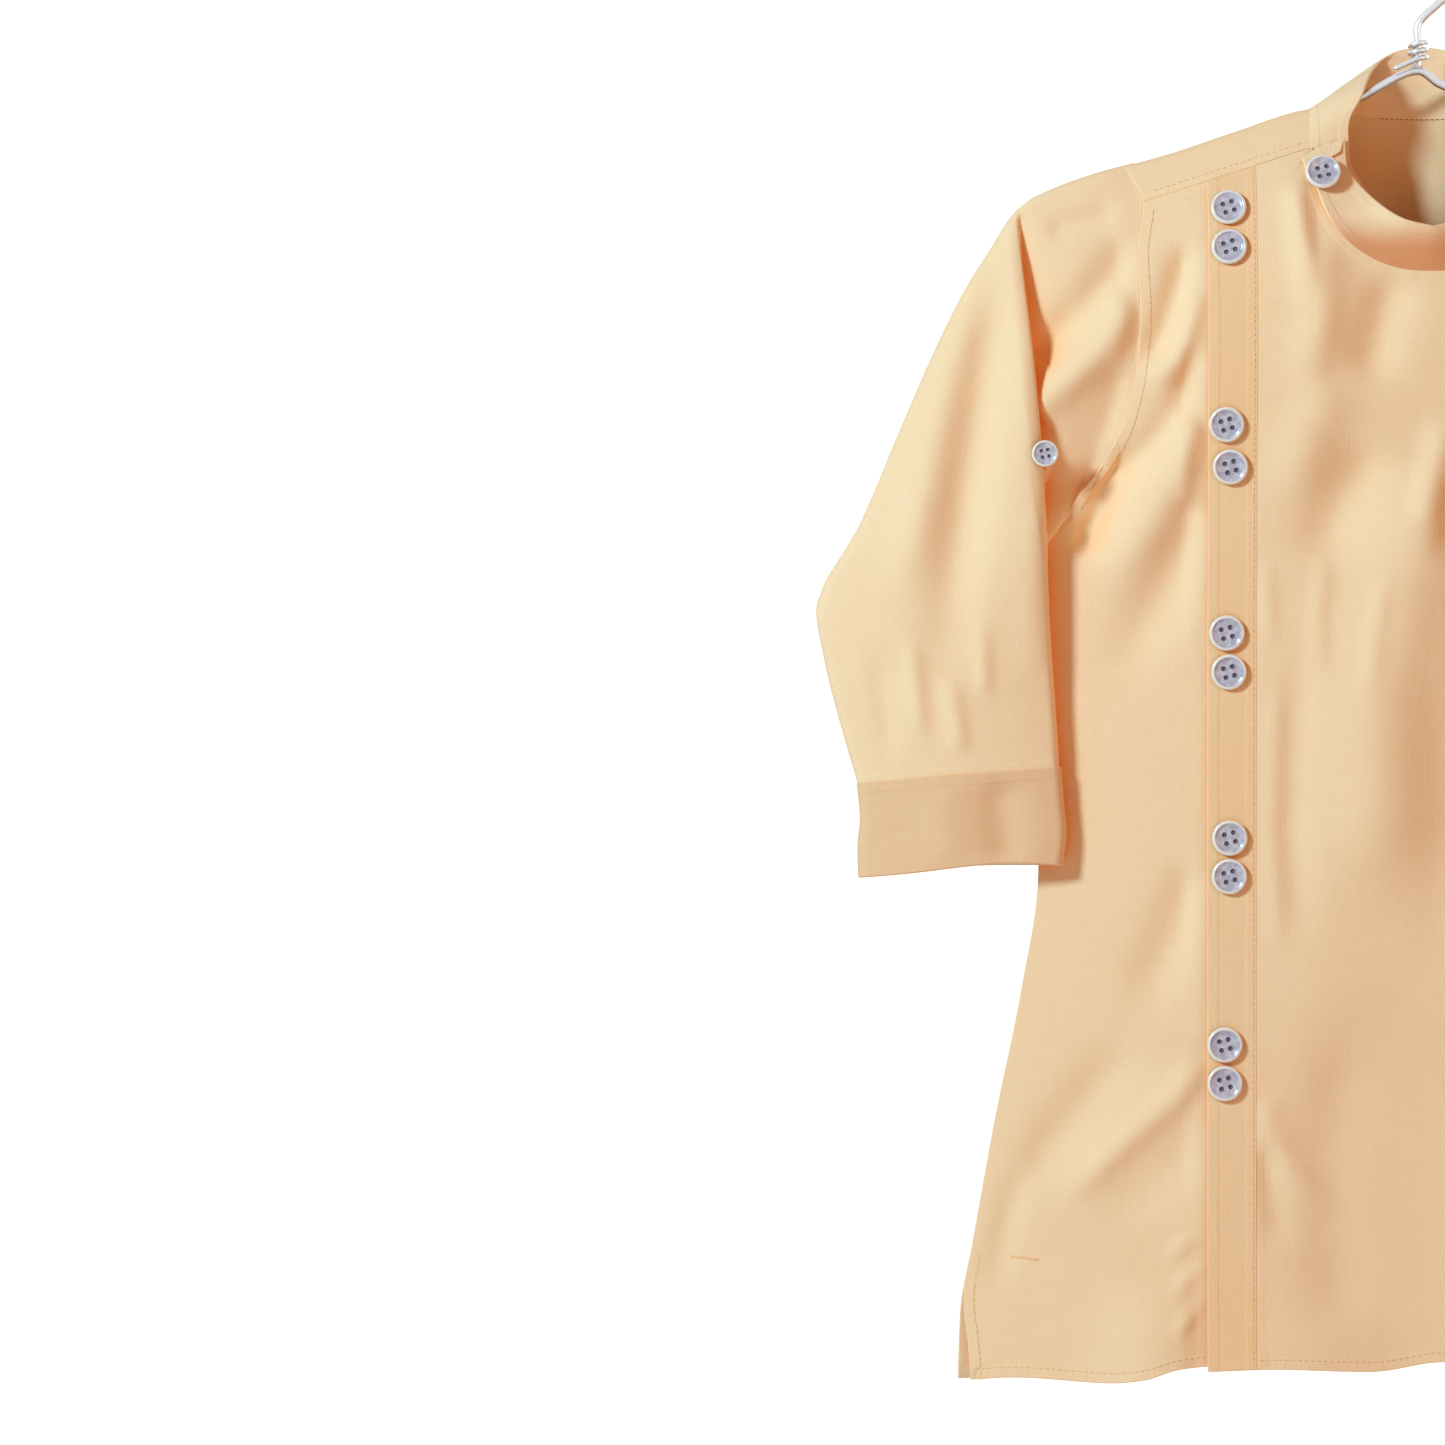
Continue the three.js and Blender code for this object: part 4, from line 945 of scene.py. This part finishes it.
# Back panel with its shoulder strips
backPoints, backSkip, stripCount = backNet()
backLines = [mirrored(armhole), armhole, slitSide, mirrored(slitSide),
             hemOf(backHem, -cut["hemHalf"], cut["hemHalf"])]
backSeams = nearLines(backLines, *fromFront(backPoints))
stripLines = [yokeRight, mirrored(yokeRight), mirrored(armhole), armhole]
backSeams[:stripCount] = nearLines(stripLines, *fromFront(backPoints[:stripCount]))
backWeave = asPairs(backPoints[..., 0], -netLengths(backPoints)[1])
back = clothShell("backPanel", backPoints, thin["panel"], backWeave, backSeams, skip=backSkip)
dress(back, backCotton, ["back"])
stateCut(backPoints, skip=backSkip)
print("panels sewn")

# Sleeves and cuffs; the left ones are worked out on the right and turned over
def leftFrontY(x, z):
    return overY(-x, z)


for side, sign in (("right", -1), ("left", 1)):
    ring = armholeRing(sign, underY if sign < 0 else leftFrontY)
    sleeveNet = tubeNet([ring] + [fullRing(row) for row in sleeveRings], sleeveShape["betweenRings"],
                        armFolds, sleeveBackFolds, sleeveShape["still"], capFolds)
    cuffNet = tubeNet([fullRing(row) for row in cuffRings], sleeveShape["betweenRings"], cuffFolds, [],
                      sleeveShape["stillCuff"])
    sleeveName = f"sleeve{side.capitalize()}"
    for part, name, net, thickness, material, above in (
            ("sleeve", sleeveName, sleeveNet, thin["panel"], panelCotton, "backPanel"),
            ("cuff", f"cuff{side.capitalize()}", cuffNet, thin["cuff"], cuffCotton, sleeveName)):
        if sign > 0:
            net = net * np.array([-1, 1, 1])
        across, down = netLengths(net, closed=True)
        gap = np.minimum(down, down[-1] - down)
        tube = clothShell(name, net, thickness, asPairs(across, down), asPairs(across, gap), closed=True)
        dress(tube, material, [f"{part}_{side}"])
        stateCut(net, closed=True)
print("sleeves sewn")

# Collar
collarPoints = collarNet()
collarAcross, collarDown = netLengths(collarPoints)
collarGap = np.minimum(np.minimum(collarAcross, collarAcross[:, -1:] - collarAcross),
                       np.minimum(collarDown, collarDown[-1] - collarDown))
collarPiece = clothShell("standCollar", collarPoints, collar["thickness"],
                         asPairs(collarDown, collarAcross), asPairs(collarDown, collarGap))
dress(collarPiece, collarCotton, ["collar"])
stateCut(collarPoints)
print("collar sewn")


# Buttons: turned discs with a raised rim, a dished face and four drilled holes
bigButton = {"radius": 7.5, "height": 2.6, "hole": 1.05, "holeAt": 2.7, "turn": 0.2}
smallButton = {"radius": 5.6, "height": 2.2, "hole": 0.8, "holeAt": 1.95, "turn": 0.2}
buttonOutline = [(0, 0), (0.7, 0), (0.82, 0.06), (0.95, 0.28), (1, 0.5), (0.99, 0.72), (0.95, 0.9),
                 (0.9, 0.985), (0.86, 1), (0.82, 0.975), (0.78, 0.88), (0.74, 0.79), (0.66, 0.72),
                 (0.5, 0.69), (0, 0.68)]
buttonPlaces = [
    ("button_1a", -84.6, -120.7), ("button_1b", -84.6, -137.3), ("button_2a", -85.7, -211.6),
    ("button_2b", -84, -229.3), ("button_3a", -85.3, -299), ("button_3b", -84.4, -315.4),
    ("button_4a", -84, -385.1), ("button_4b", -84.2, -401.3), ("button_5a", -86.1, -472),
    ("button_5b", -86.1, -488.2),
]
buttonSides, drillSides = 56, 20


def pearlMaterial():
    n = Nodes("pearly lavender button")
    place, height = n.parts("face")
    swirl = n.noise(n.objectPlace(), 420.0, 2.0, 0.6)
    face = n.blend(n.ramp(swirl, 0.35, 0.7), (0.42, 0.42, 0.58), (0.62, 0.62, 0.76))
    colour = n.blend(n.ramp(place, 0.80, 0.88), face, (0.86, 0.86, 0.90))
    # Painted shade: the hole walls and the button's lower sides darken to purple-grey
    colour = n.blend(n.ramp(height, 0.0, 0.62, 1.0, 0.0), colour, (0.2, 0.19, 0.28))
    fine = n.noise(n.objectPlace(), 900.0, 2.0, 0.5)
    n.bump(n.math("MULTIPLY", fine, 0.00003))
    return n.finish(colour, n.ramp(swirl, 0.3, 0.7, 0.16, 0.26), Specular_IOR_Level=0.55, Coat_Weight=0.45,
                    Coat_Roughness=0.08)


def holeSpots(size):
    turns = [(k / 4 + 1 / 8) * 2 * math.pi + size["turn"] for k in range(4)]
    return [(size["holeAt"] * math.cos(turn), size["holeAt"] * math.sin(turn)) for turn in turns]


def buttonMesh(size):
    points, faces, rims = [], [], []
    for share, tall in buttonOutline[1:-1]:
        rims.append(len(points))
        wide, height = share * size["radius"], tall * size["height"]
        points += [(wide * math.cos(a), wide * math.sin(a), height) for a in turnsOf(buttonSides)]
    for low in rims[:-1]:
        faces += ringFaces(low, buttonSides)
    for pole, ring, flip in ((buttonOutline[0], rims[0], True), (buttonOutline[-1], rims[-1], False)):
        points.append((0, 0, pole[1] * size["height"]))
        for k in range(buttonSides):
            after = (k + 1) % buttonSides
            pair = (ring + after, ring + k) if flip else (ring + k, ring + after)
            faces.append((*pair, len(points) - 1))
    disc = plainMesh("buttonBlank", points, faces)
    drills = []
    for across, up in holeSpots(size):
        ends = [(across + size["hole"] * math.cos(a), up + size["hole"] * math.sin(a), z * size["height"])
                for z in (-0.5, 1.5) for a in turnsOf(drillSides)]
        caps = [tuple(reversed(range(drillSides))), tuple(range(drillSides, 2 * drillSides))]
        drills.append(plainMesh("drill", ends, ringFaces(0, drillSides) + caps))
        cutter = disc.modifiers.new("hole", "BOOLEAN")
        cutter.object, cutter.operation, cutter.solver = drills[-1], "DIFFERENCE", "EXACT"
    drilled = bpy.data.meshes.new_from_object(disc.evaluated_get(bpy.context.evaluated_depsgraph_get()))
    for scrap in [disc, *drills]:
        bpy.data.objects.remove(scrap)
    layer = drilled.uv_layers.new(name="face")
    spots = np.empty(len(drilled.vertices) * 3)
    drilled.vertices.foreach_get("co", spots)
    spots = spots.reshape(-1, 3) / mm
    corners = np.empty(len(drilled.loops), int)
    drilled.loops.foreach_get("vertex_index", corners)
    out = np.hypot(spots[:, 0], spots[:, 1]) / size["radius"]
    layer.data.foreach_set("uv", np.stack([out, spots[:, 2] / size["height"]], axis=1)[corners].ravel())
    smoothFaces(drilled, 42)
    return drilled


def facing(depth, x, z, step=3):
    def at(a, b):
        return float(depth(np.array(float(a)), b))

    slopeX = (at(x + step, z) - at(x - step, z)) / (2 * step)
    slopeZ = (at(x, z + step) - at(x, z - step)) / (2 * step)
    return Vector((slopeX, -1, slopeZ)).normalized()


# Dark thread that fills the holes, drawn in below the button's face: partly real thread, partly painted shade
# inside the holes
plug = {"low": -0.25, "high": 0.4, "share": 0.97, "sides": 10}
plugPoints, plugFaces = [], []


def fillHoles(size, stand):
    sides, wide = plug["sides"], size["hole"] * plug["share"]
    for across, up in holeSpots(size):
        start = len(plugPoints)
        for share in (plug["low"], plug["high"]):
            for turn in turnsOf(sides):
                point = (across + wide * math.cos(turn), up + wide * math.sin(turn), share * size["height"])
                plugPoints.append(tuple(stand @ (Vector(point) * mm) / mm))
        plugFaces.extend(ringFaces(start, sides))
        plugFaces.append(tuple(start + k for k in reversed(range(sides))))
        plugFaces.append(tuple(start + sides + k for k in range(sides)))


def placeButton(node, pattern, size, place, outward):
    mesh = pattern.copy()
    turned = Vector((0, 0, 1)).rotation_difference(outward).to_matrix().to_4x4()
    stand = Matrix.Translation(Vector(place) * mm) @ turned
    mesh.transform(stand)
    dress(newPiece(f"{node}_sewn", mesh), pearl, [node])
    fillHoles(size, stand)


pearl = pearlMaterial()
bigPattern, smallPattern = buttonMesh(bigButton), buttonMesh(smallButton)
buttonGap = 0.5
collarButton = {"x": -45.4, "z": -106.2, "gap": 1.1}
sleeveButton = {"x": 161.9, "y": -19.4, "z": -223.8}


def tabY(x, z):
    return overY(x, z) - collar["tabLift"]


def sewOn(node, depth, x, z, gap):
    y = float(depth(np.array(float(x)), z)) - gap
    placeButton(node, bigPattern, bigButton, (x, y, z), facing(depth, x, z))


for node, x, z in buttonPlaces:
    sewOn(node, bandY, x, z, buttonGap)
sewOn("button_collar", tabY, collarButton["x"], collarButton["z"], collarButton["gap"])
for side, sign in (("right", -1), ("left", 1)):
    spot = (sign * sleeveButton["x"], sleeveButton["y"], sleeveButton["z"])
    placeButton(f"button_sleeve_{side}", smallPattern, smallButton, spot, Vector((0, -1, 0)))
print("buttons sewn on")

# Hanger wire
wire = {"radius": 1.8, "drop": 3.75, "sides": 18, "hookRadius": 16, "apexX": -3.4, "apexZ": -61.5}
tie = {"radius": 1.1, "sides": 14, "gap": 0.45, "halfTurns": 5, "steps": 40, "low": -56.5, "height": 8}
armWire = [(157, 1), (145, 0.4), (126.4, 0), (102, 0), (84.3, 0), (66.7, 0), (54, 0)]
neckWire = [(-44, -79.9), (-27.7, -72.6), (wire["apexX"], wire["apexZ"]), (6, -67.2), (27, -74.4), (44, -80)]
hookStem = [wire["apexZ"] + 2.4, -50, -42]
hookTurns = [-73, -27, 27, 80, 133, 187]
wireTail = [(-13, -60.6), (-8.5, -58.6)]


def smoothPath(points, steps):
    points = np.array(points, float)
    points = np.concatenate([[2 * points[0] - points[1]], points, [2 * points[-1] - points[-2]]])
    made = []
    for k in range(1, len(points) - 2):
        p0, p1, p2, p3 = points[k - 1:k + 3]
        d0, d1, d2 = (math.sqrt(np.linalg.norm(b - a)) for a, b in ((p0, p1), (p1, p2), (p2, p3)))
        m1 = ((p1 - p0) / d0 - (p2 - p0) / (d0 + d1) + (p2 - p1) / d1) * d1
        m2 = ((p2 - p1) / d1 - (p3 - p1) / (d1 + d2) + (p3 - p2) / d2) * d1
        for t in even(steps)[:-1]:
            made.append(p1 + m1 * t + (3 * (p2 - p1) - 2 * m1 - m2) * t**2 + (2 * (p1 - p2) + m1 + m2) * t**3)
    made.append(points[-2])
    return np.array(made)


# A round wire along a path, with rounded closed ends
def wireTube(name, path, radius, sides):
    runs = np.gradient(path, axis=0)
    runs /= np.linalg.norm(runs, axis=1)[:, None]
    side = np.cross(runs[0], (0.0, 1.0, 0.0))
    if np.linalg.norm(side) < 0.1:
        side = np.cross(runs[0], (1.0, 0.0, 0.0))
    capTurns = (1.2, 0.8, 0.4)
    sections = [(path[0] - runs[0] * radius * math.sin(a), runs[0], radius * math.cos(a)) for a in capTurns]
    sections += [(point, run, radius) for point, run in zip(path, runs)]
    sections += [(path[-1] + runs[-1] * radius * math.sin(a), runs[-1], radius * math.cos(a))
                 for a in reversed(capTurns)]
    points = []
    for centre, run, wide in sections:
        side = side - run * np.dot(side, run)
        side /= np.linalg.norm(side)
        up = np.cross(run, side)
        points += [centre + wide * (side * math.cos(a) + up * math.sin(a)) for a in turnsOf(sides)]
    end = (len(sections) - 1) * sides
    faces = [face for start in range(0, end, sides) for face in ringFaces(start, sides)]
    first, last = len(points), len(points) + 1
    points += [path[0] - runs[0] * radius, path[-1] + runs[-1] * radius]
    faces += [((k + 1) % sides, k, first) for k in range(sides)]
    faces += [(end + k, end + (k + 1) % sides, last) for k in range(sides)]
    return plainMesh(name, points, faces, 60)


def steelMaterial():
    n = Nodes("drawn steel wire")
    place = n.objectPlace()
    drawn = n.noise(place, 700.0, 3.0, 0.6)
    dull = n.noise(place, 60.0, 3.0, 0.6)
    colour = n.blend(n.ramp(dull, 0.4, 0.75, 0.0, 0.6), (0.80, 0.80, 0.82), (0.52, 0.51, 0.50))
    n.bump(n.math("MULTIPLY", drawn, 0.00004))
    return n.finish(colour, n.ramp(dull, 0.3, 0.7, 0.22, 0.38), Metallic=1.0)


steel = steelMaterial()


def bendWire(name, path, steps, gauge, node):
    dress(wireTube(name, smoothPath(path, steps), gauge["radius"], gauge["sides"]), steel, [node])


arm = [(x, float(shoulderZ(x)) - wire["drop"] - lower) for x, lower in armWire]
armPath = [(x, 0, z) for x, z in [*mirrored(arm), *neckWire, *arm[::-1]]]
bendWire("hangerArms", armPath, 12, wire, "hanger_arms")
bend = wire["hookRadius"] + wire["radius"]
hookPath = [(wire["apexX"], 0, z) for z in hookStem]
for a in (math.radians(turn) for turn in hookTurns):
    hookPath.append((bend * math.cos(a), 0, bend * math.sin(a) - wire["hookRadius"]))
bendWire("hangerHook", hookPath, 12, wire, "hanger_hook")
out = wire["radius"] + tie["radius"] + tie["gap"]
tiePath = [(x, -out, z) for x, z in wireTail]
for t in even(tie["steps"]):
    a = (t * tie["halfTurns"] - 0.5) * math.pi
    tiePath.append((wire["apexX"] + out * math.cos(a), out * math.sin(a), tie["low"] + tie["height"] * t))
bendWire("hangerTie", tiePath, 4, tie, "hanger_twist")
print("hanger bent")

# Stitches: a small thread loop on each place along the sewn lines
stitch = {"pitch": 2.7, "long": 1.9, "wide": 0.42, "lift": 0.12, "neckPitch": 2.1, "tackPitch": 0.9}
stitchNodes = {"start": "NodeGroupInput", "end": "NodeGroupOutput", "curve": "GeometryNodeMeshToCurve",
               "places": "GeometryNodeResampleCurve", "run": "GeometryNodeInputTangent",
               "loops": "GeometryNodeInstanceOnPoints", "turn": "FunctionNodeAlignRotationToVector",
               "shape": "GeometryNodeMeshUVSphere", "real": "GeometryNodeRealizeInstances",
               "paint": "GeometryNodeSetMaterial", "size": "ShaderNodeCombineXYZ"}
stitchLinks = [
    ("start", "Geometry", "curve", "Mesh"), ("curve", "Curve", "places", "Curve"),
    ("start", "Pitch", "places", "Length"), ("places", "Curve", "loops", "Points"),
    ("shape", "Mesh", "loops", "Instance"), ("run", "Tangent", "turn", "Vector"),
    ("turn", "Rotation", "loops", "Rotation"), ("start", "Long", "size", "X"),
    ("start", "Wide", "size", "Y"), ("start", "Wide", "size", "Z"), ("size", "Vector", "loops", "Scale"),
    ("loops", "Instances", "real", "Geometry"), ("real", "Geometry", "paint", "Geometry"),
    ("paint", "Geometry", "end", "Geometry"),
]


def threadMaterial(name, light, dark):
    n = Nodes(name)
    twist = n.noise(n.objectPlace(), 1500.0, 2.0, 0.6)
    n.bump(n.math("MULTIPLY", twist, 0.00005))
    colour = n.blend(n.ramp(twist, 0.3, 0.7), light, dark)
    return n.finish(colour, 0.75, Specular_IOR_Level=0.3, Sheen_Weight=0.2)


def sewLines(name, lines, pitch, material):
    points, joins = [], []
    for line in lines:
        joins += [(len(points) + k, len(points) + k + 1) for k in range(len(line) - 1)]
        points += [tuple(np.array(point) * mm) for point in line]
    guide = bpy.data.meshes.new(name)
    guide.from_pydata(points, joins, [])
    holder = newPiece(name, guide)
    tree = bpy.data.node_groups.new(f"{name} rows", "GeometryNodeTree")
    face = tree.interface
    face.new_socket("Geometry", in_out="INPUT", socket_type="NodeSocketGeometry")
    sizes = {"Pitch": pitch * mm, "Long": stitch["long"] * mm, "Wide": stitch["wide"] * mm}
    keys = {label: face.new_socket(label, in_out="INPUT", socket_type="NodeSocketFloat").identifier
            for label in sizes}
    face.new_socket("Geometry", in_out="OUTPUT", socket_type="NodeSocketGeometry")
    made = {key: tree.nodes.new(kind) for key, kind in stitchNodes.items()}
    made["places"].mode = "LENGTH"
    made["turn"].axis = "X"
    for socket, value in (("Segments", 6), ("Rings", 4), ("Radius", 0.5)):
        made["shape"].inputs[socket].default_value = value
    made["paint"].inputs["Material"].default_value = material
    for source, output, target, socket in stitchLinks:
        tree.links.new(made[source].outputs[output], made[target].inputs[socket])
    rows = holder.modifiers.new("rows", "NODES")
    rows.node_group = tree
    for label, value in sizes.items():
        rows[keys[label]] = value
    holder.update_tag()
    sewn = bpy.data.meshes.new_from_object(holder.evaluated_get(bpy.context.evaluated_depsgraph_get()))
    holder.modifiers.clear()
    holder.data = sewn
    smoothFaces(sewn)
    return dress(holder, material, [])


def liftLine(line, depth, side=-1):
    # a sewn line on a panel, just off the face of its cloth
    line = np.array(line, float)
    y = depth(line[:, 0], line[:, 1]) + side * (thin["panel"] / 2 + stitch["lift"])
    return np.stack([line[:, 0], y, line[:, 1]], axis=-1)


def fineLine(points, step=2.0):
    points = np.array(points, float)
    lengths = np.concatenate([[0], np.cumsum(np.linalg.norm(np.diff(points, axis=0), axis=1))])
    at = np.linspace(0, lengths[-1], max(2, int(lengths[-1] / step)))
    return np.stack([np.interp(at, lengths, points[:, k]) for k in range(points.shape[1])], axis=-1)


seams = {"hemRise": 3.8, "bandInset": 1.2, "bandEnds": 2, "inset": 4, "belowSlitTop": 6,
         "yokeRise": 3.6, "yokeAt": (52, 80, 115), "tackRows": (0, 0.7),
         "neckDrop": 0.7, "neckAt": (-17.2, 0, 17.2)}
barTack = [(-175.1, -561.5), (-165, -562.6)]


def hemSeam(table, low, high):
    return fineLine([(x, z + seams["hemRise"]) for x, z in onLine(table, spaced(low, high, even(60)))])


def insetSeam(line, sign):
    return fineLine([(sign * (x - seams["inset"]), z) for x, z in line])


def slitPart(line):
    return [(x, z) for x, z in line if z < cut["slitTop"] - seams["belowSlitTop"]]


sewn = [liftLine(hemSeam(overHem, -71, 190), overY), liftLine(hemSeam(underHem, -190, -95), underY),
        liftLine(hemSeam(backHem, -194, 194), backY, 1)]
bandStitch = cut["bandEdge"] + cut["bandWidth"] - seams["bandInset"]
bandEnds = (seamZ(bandStitch) - seams["bandEnds"], readTable(overHem, bandStitch) + seams["bandEnds"])
sewn.append(liftLine(fineLine([(bandStitch, float(z)) for z in bandEnds]), bandY))
for sign, depth in ((-1, underY), (1, overY)):
    armSeam = insetSeam(armhole[2:-1], sign)
    yokeSeam = fineLine([(sign * x, z + seams["yokeRise"]) for x, z in onSeam(seams["yokeAt"])])
    sewn += [liftLine(armSeam, depth), liftLine(armSeam, backY, 1),
             liftLine(insetSeam(slitPart(slitSide), sign), depth),
             liftLine(insetSeam(slitPart(edge), sign), backY, 1), liftLine(yokeSeam, plainFrontY)]
seamThread = threadMaterial("peach sewing thread", (0.98, 0.77, 0.54), (0.9, 0.62, 0.36))
sewLines("seamStitches", sewn, stitch["pitch"], seamThread)
tack = [liftLine(fineLine([(x, z - drop) for x, z in barTack]), underY) for drop in seams["tackRows"]]
sewLines("slitTack", tack, stitch["tackPitch"], seamThread)
# A dark line of small loops on the inside of the back, just below the neck seam
inNeck = fineLine([(x, neckBackZ(x) - seams["neckDrop"]) for x in seams["neckAt"]])
sewLines("darkBackNeckLine", [liftLine(inNeck, backY, -1)], stitch["neckPitch"],
         threadMaterial("dark line along the back neck seam", (0.09, 0.05, 0.03), (0.05, 0.03, 0.02)))
# Painted shade in the button holes, drawn as dark thread
holeThreadAndShade = plainMesh("buttonThreadAndHoleShade", plugPoints, plugFaces)
dress(holeThreadAndShade, threadMaterial("dark button thread and painted hole shade", (0.20, 0.18, 0.26), (0.12, 0.11, 0.17)), [])
print("seams stitched")

# Floor, backdrop, light and camera
stageSizes = {"floorZ": -1.5, "wallY": 5.5, "half": 3.2}


def stagePlane(name, corners, colour, glow=0.0):
    mesh = bpy.data.meshes.new(name)
    mesh.from_pydata(corners, [], [(0, 1, 2, 3)])
    plane = newPiece(name, mesh)
    n = Nodes(name)
    speck = n.noise(n.objectPlace(), 40.0, 3.0, 0.5)
    shade = [part * 0.98 for part in colour]
    n.shader.inputs["Emission Color"].default_value = (1, 1, 1, 1)
    n.shader.inputs["Emission Strength"].default_value = glow
    mesh.materials.append(n.finish(n.blend(speck, colour, shade), 0.9))
    return plane


half = stageSizes["half"]
square = [(-half, -half), (half, -half), (half, half), (-half, half)]
floor = stagePlane("paleFloor", [(x, y, stageSizes["floorZ"]) for x, y in square], (0.85, 0.85, 0.85))
wall = stagePlane("paleBackdrop", [(x, stageSizes["wallY"], z) for x, z in square], (0.9, 0.9, 0.9), 1.0)

world = bpy.data.worlds.new("soft room")
bpy.context.scene.world = world
world.use_nodes = True
room = world.node_tree
glow = room.nodes["Background"]
rays, tones = room.nodes.new("ShaderNodeLightPath"), room.nodes.new("ShaderNodeMix")
tones.data_type = "RGBA"
share, plain, warm = [socket for socket in tones.inputs if socket.enabled]
plain.default_value, warm.default_value = (0.86, 0.87, 0.9, 1), (0.31, 0.155, 0.07, 1)
room.links.new(rays.outputs["Is Diffuse Ray"], share)
room.links.new(next(socket for socket in tones.outputs if socket.enabled), glow.inputs["Color"])
glow.inputs["Strength"].default_value = 1.0


def areaLight(name, place, target, size, power, colour):
    lamp = bpy.data.lights.new(name, "AREA")
    lamp.shape, lamp.size, lamp.energy, lamp.color = "DISK", size, power, colour
    holder = newPiece(name, lamp)
    holder.location = place
    holder.rotation_euler = (Vector(target) - Vector(place)).to_track_quat("-Z", "Y").to_euler()


areaLight("keyLight", (-1.92, -1.6, 0.78), (-0.12, 0, -0.33), 0.5, 56, (0.67, 0.95, 1.0))
areaLight("fillLight", (2.1, -1.9, -0.1), (-0.1, 0, -0.33), 1.2, 13, (1.0, 0.43, 0.15))
areaLight("backLight", (1.7, 1.9, 0.8), (0, 0, -0.33), 0.6, 36, (0.8, 0.92, 1.0))

# Camera at the photo's viewing angle, straight on
photo = {"centreX": -0.29715, "centreZ": -0.33657, "width": 0.6069, "away": 2.8, "front": 0.015,
         "sensor": 36.0}
eye = bpy.data.cameras.new("photoCamera")
eye.sensor_width = photo["sensor"]
eye.lens = photo["sensor"] * (photo["away"] - photo["front"]) / photo["width"]
eye.clip_start, eye.clip_end = 0.05, 60.0
camera = newPiece("photoCamera", eye)
camera.location = (photo["centreX"], -photo["away"], photo["centreZ"])
camera.rotation_euler = (math.pi / 2, 0, 0)
bpy.context.scene.camera = camera
bpy.context.scene.view_settings.view_transform = "Standard"
bpy.context.scene.cycles.max_bounces = 12
bpy.context.scene.cycles.diffuse_bounces = 8

print("scene lit")
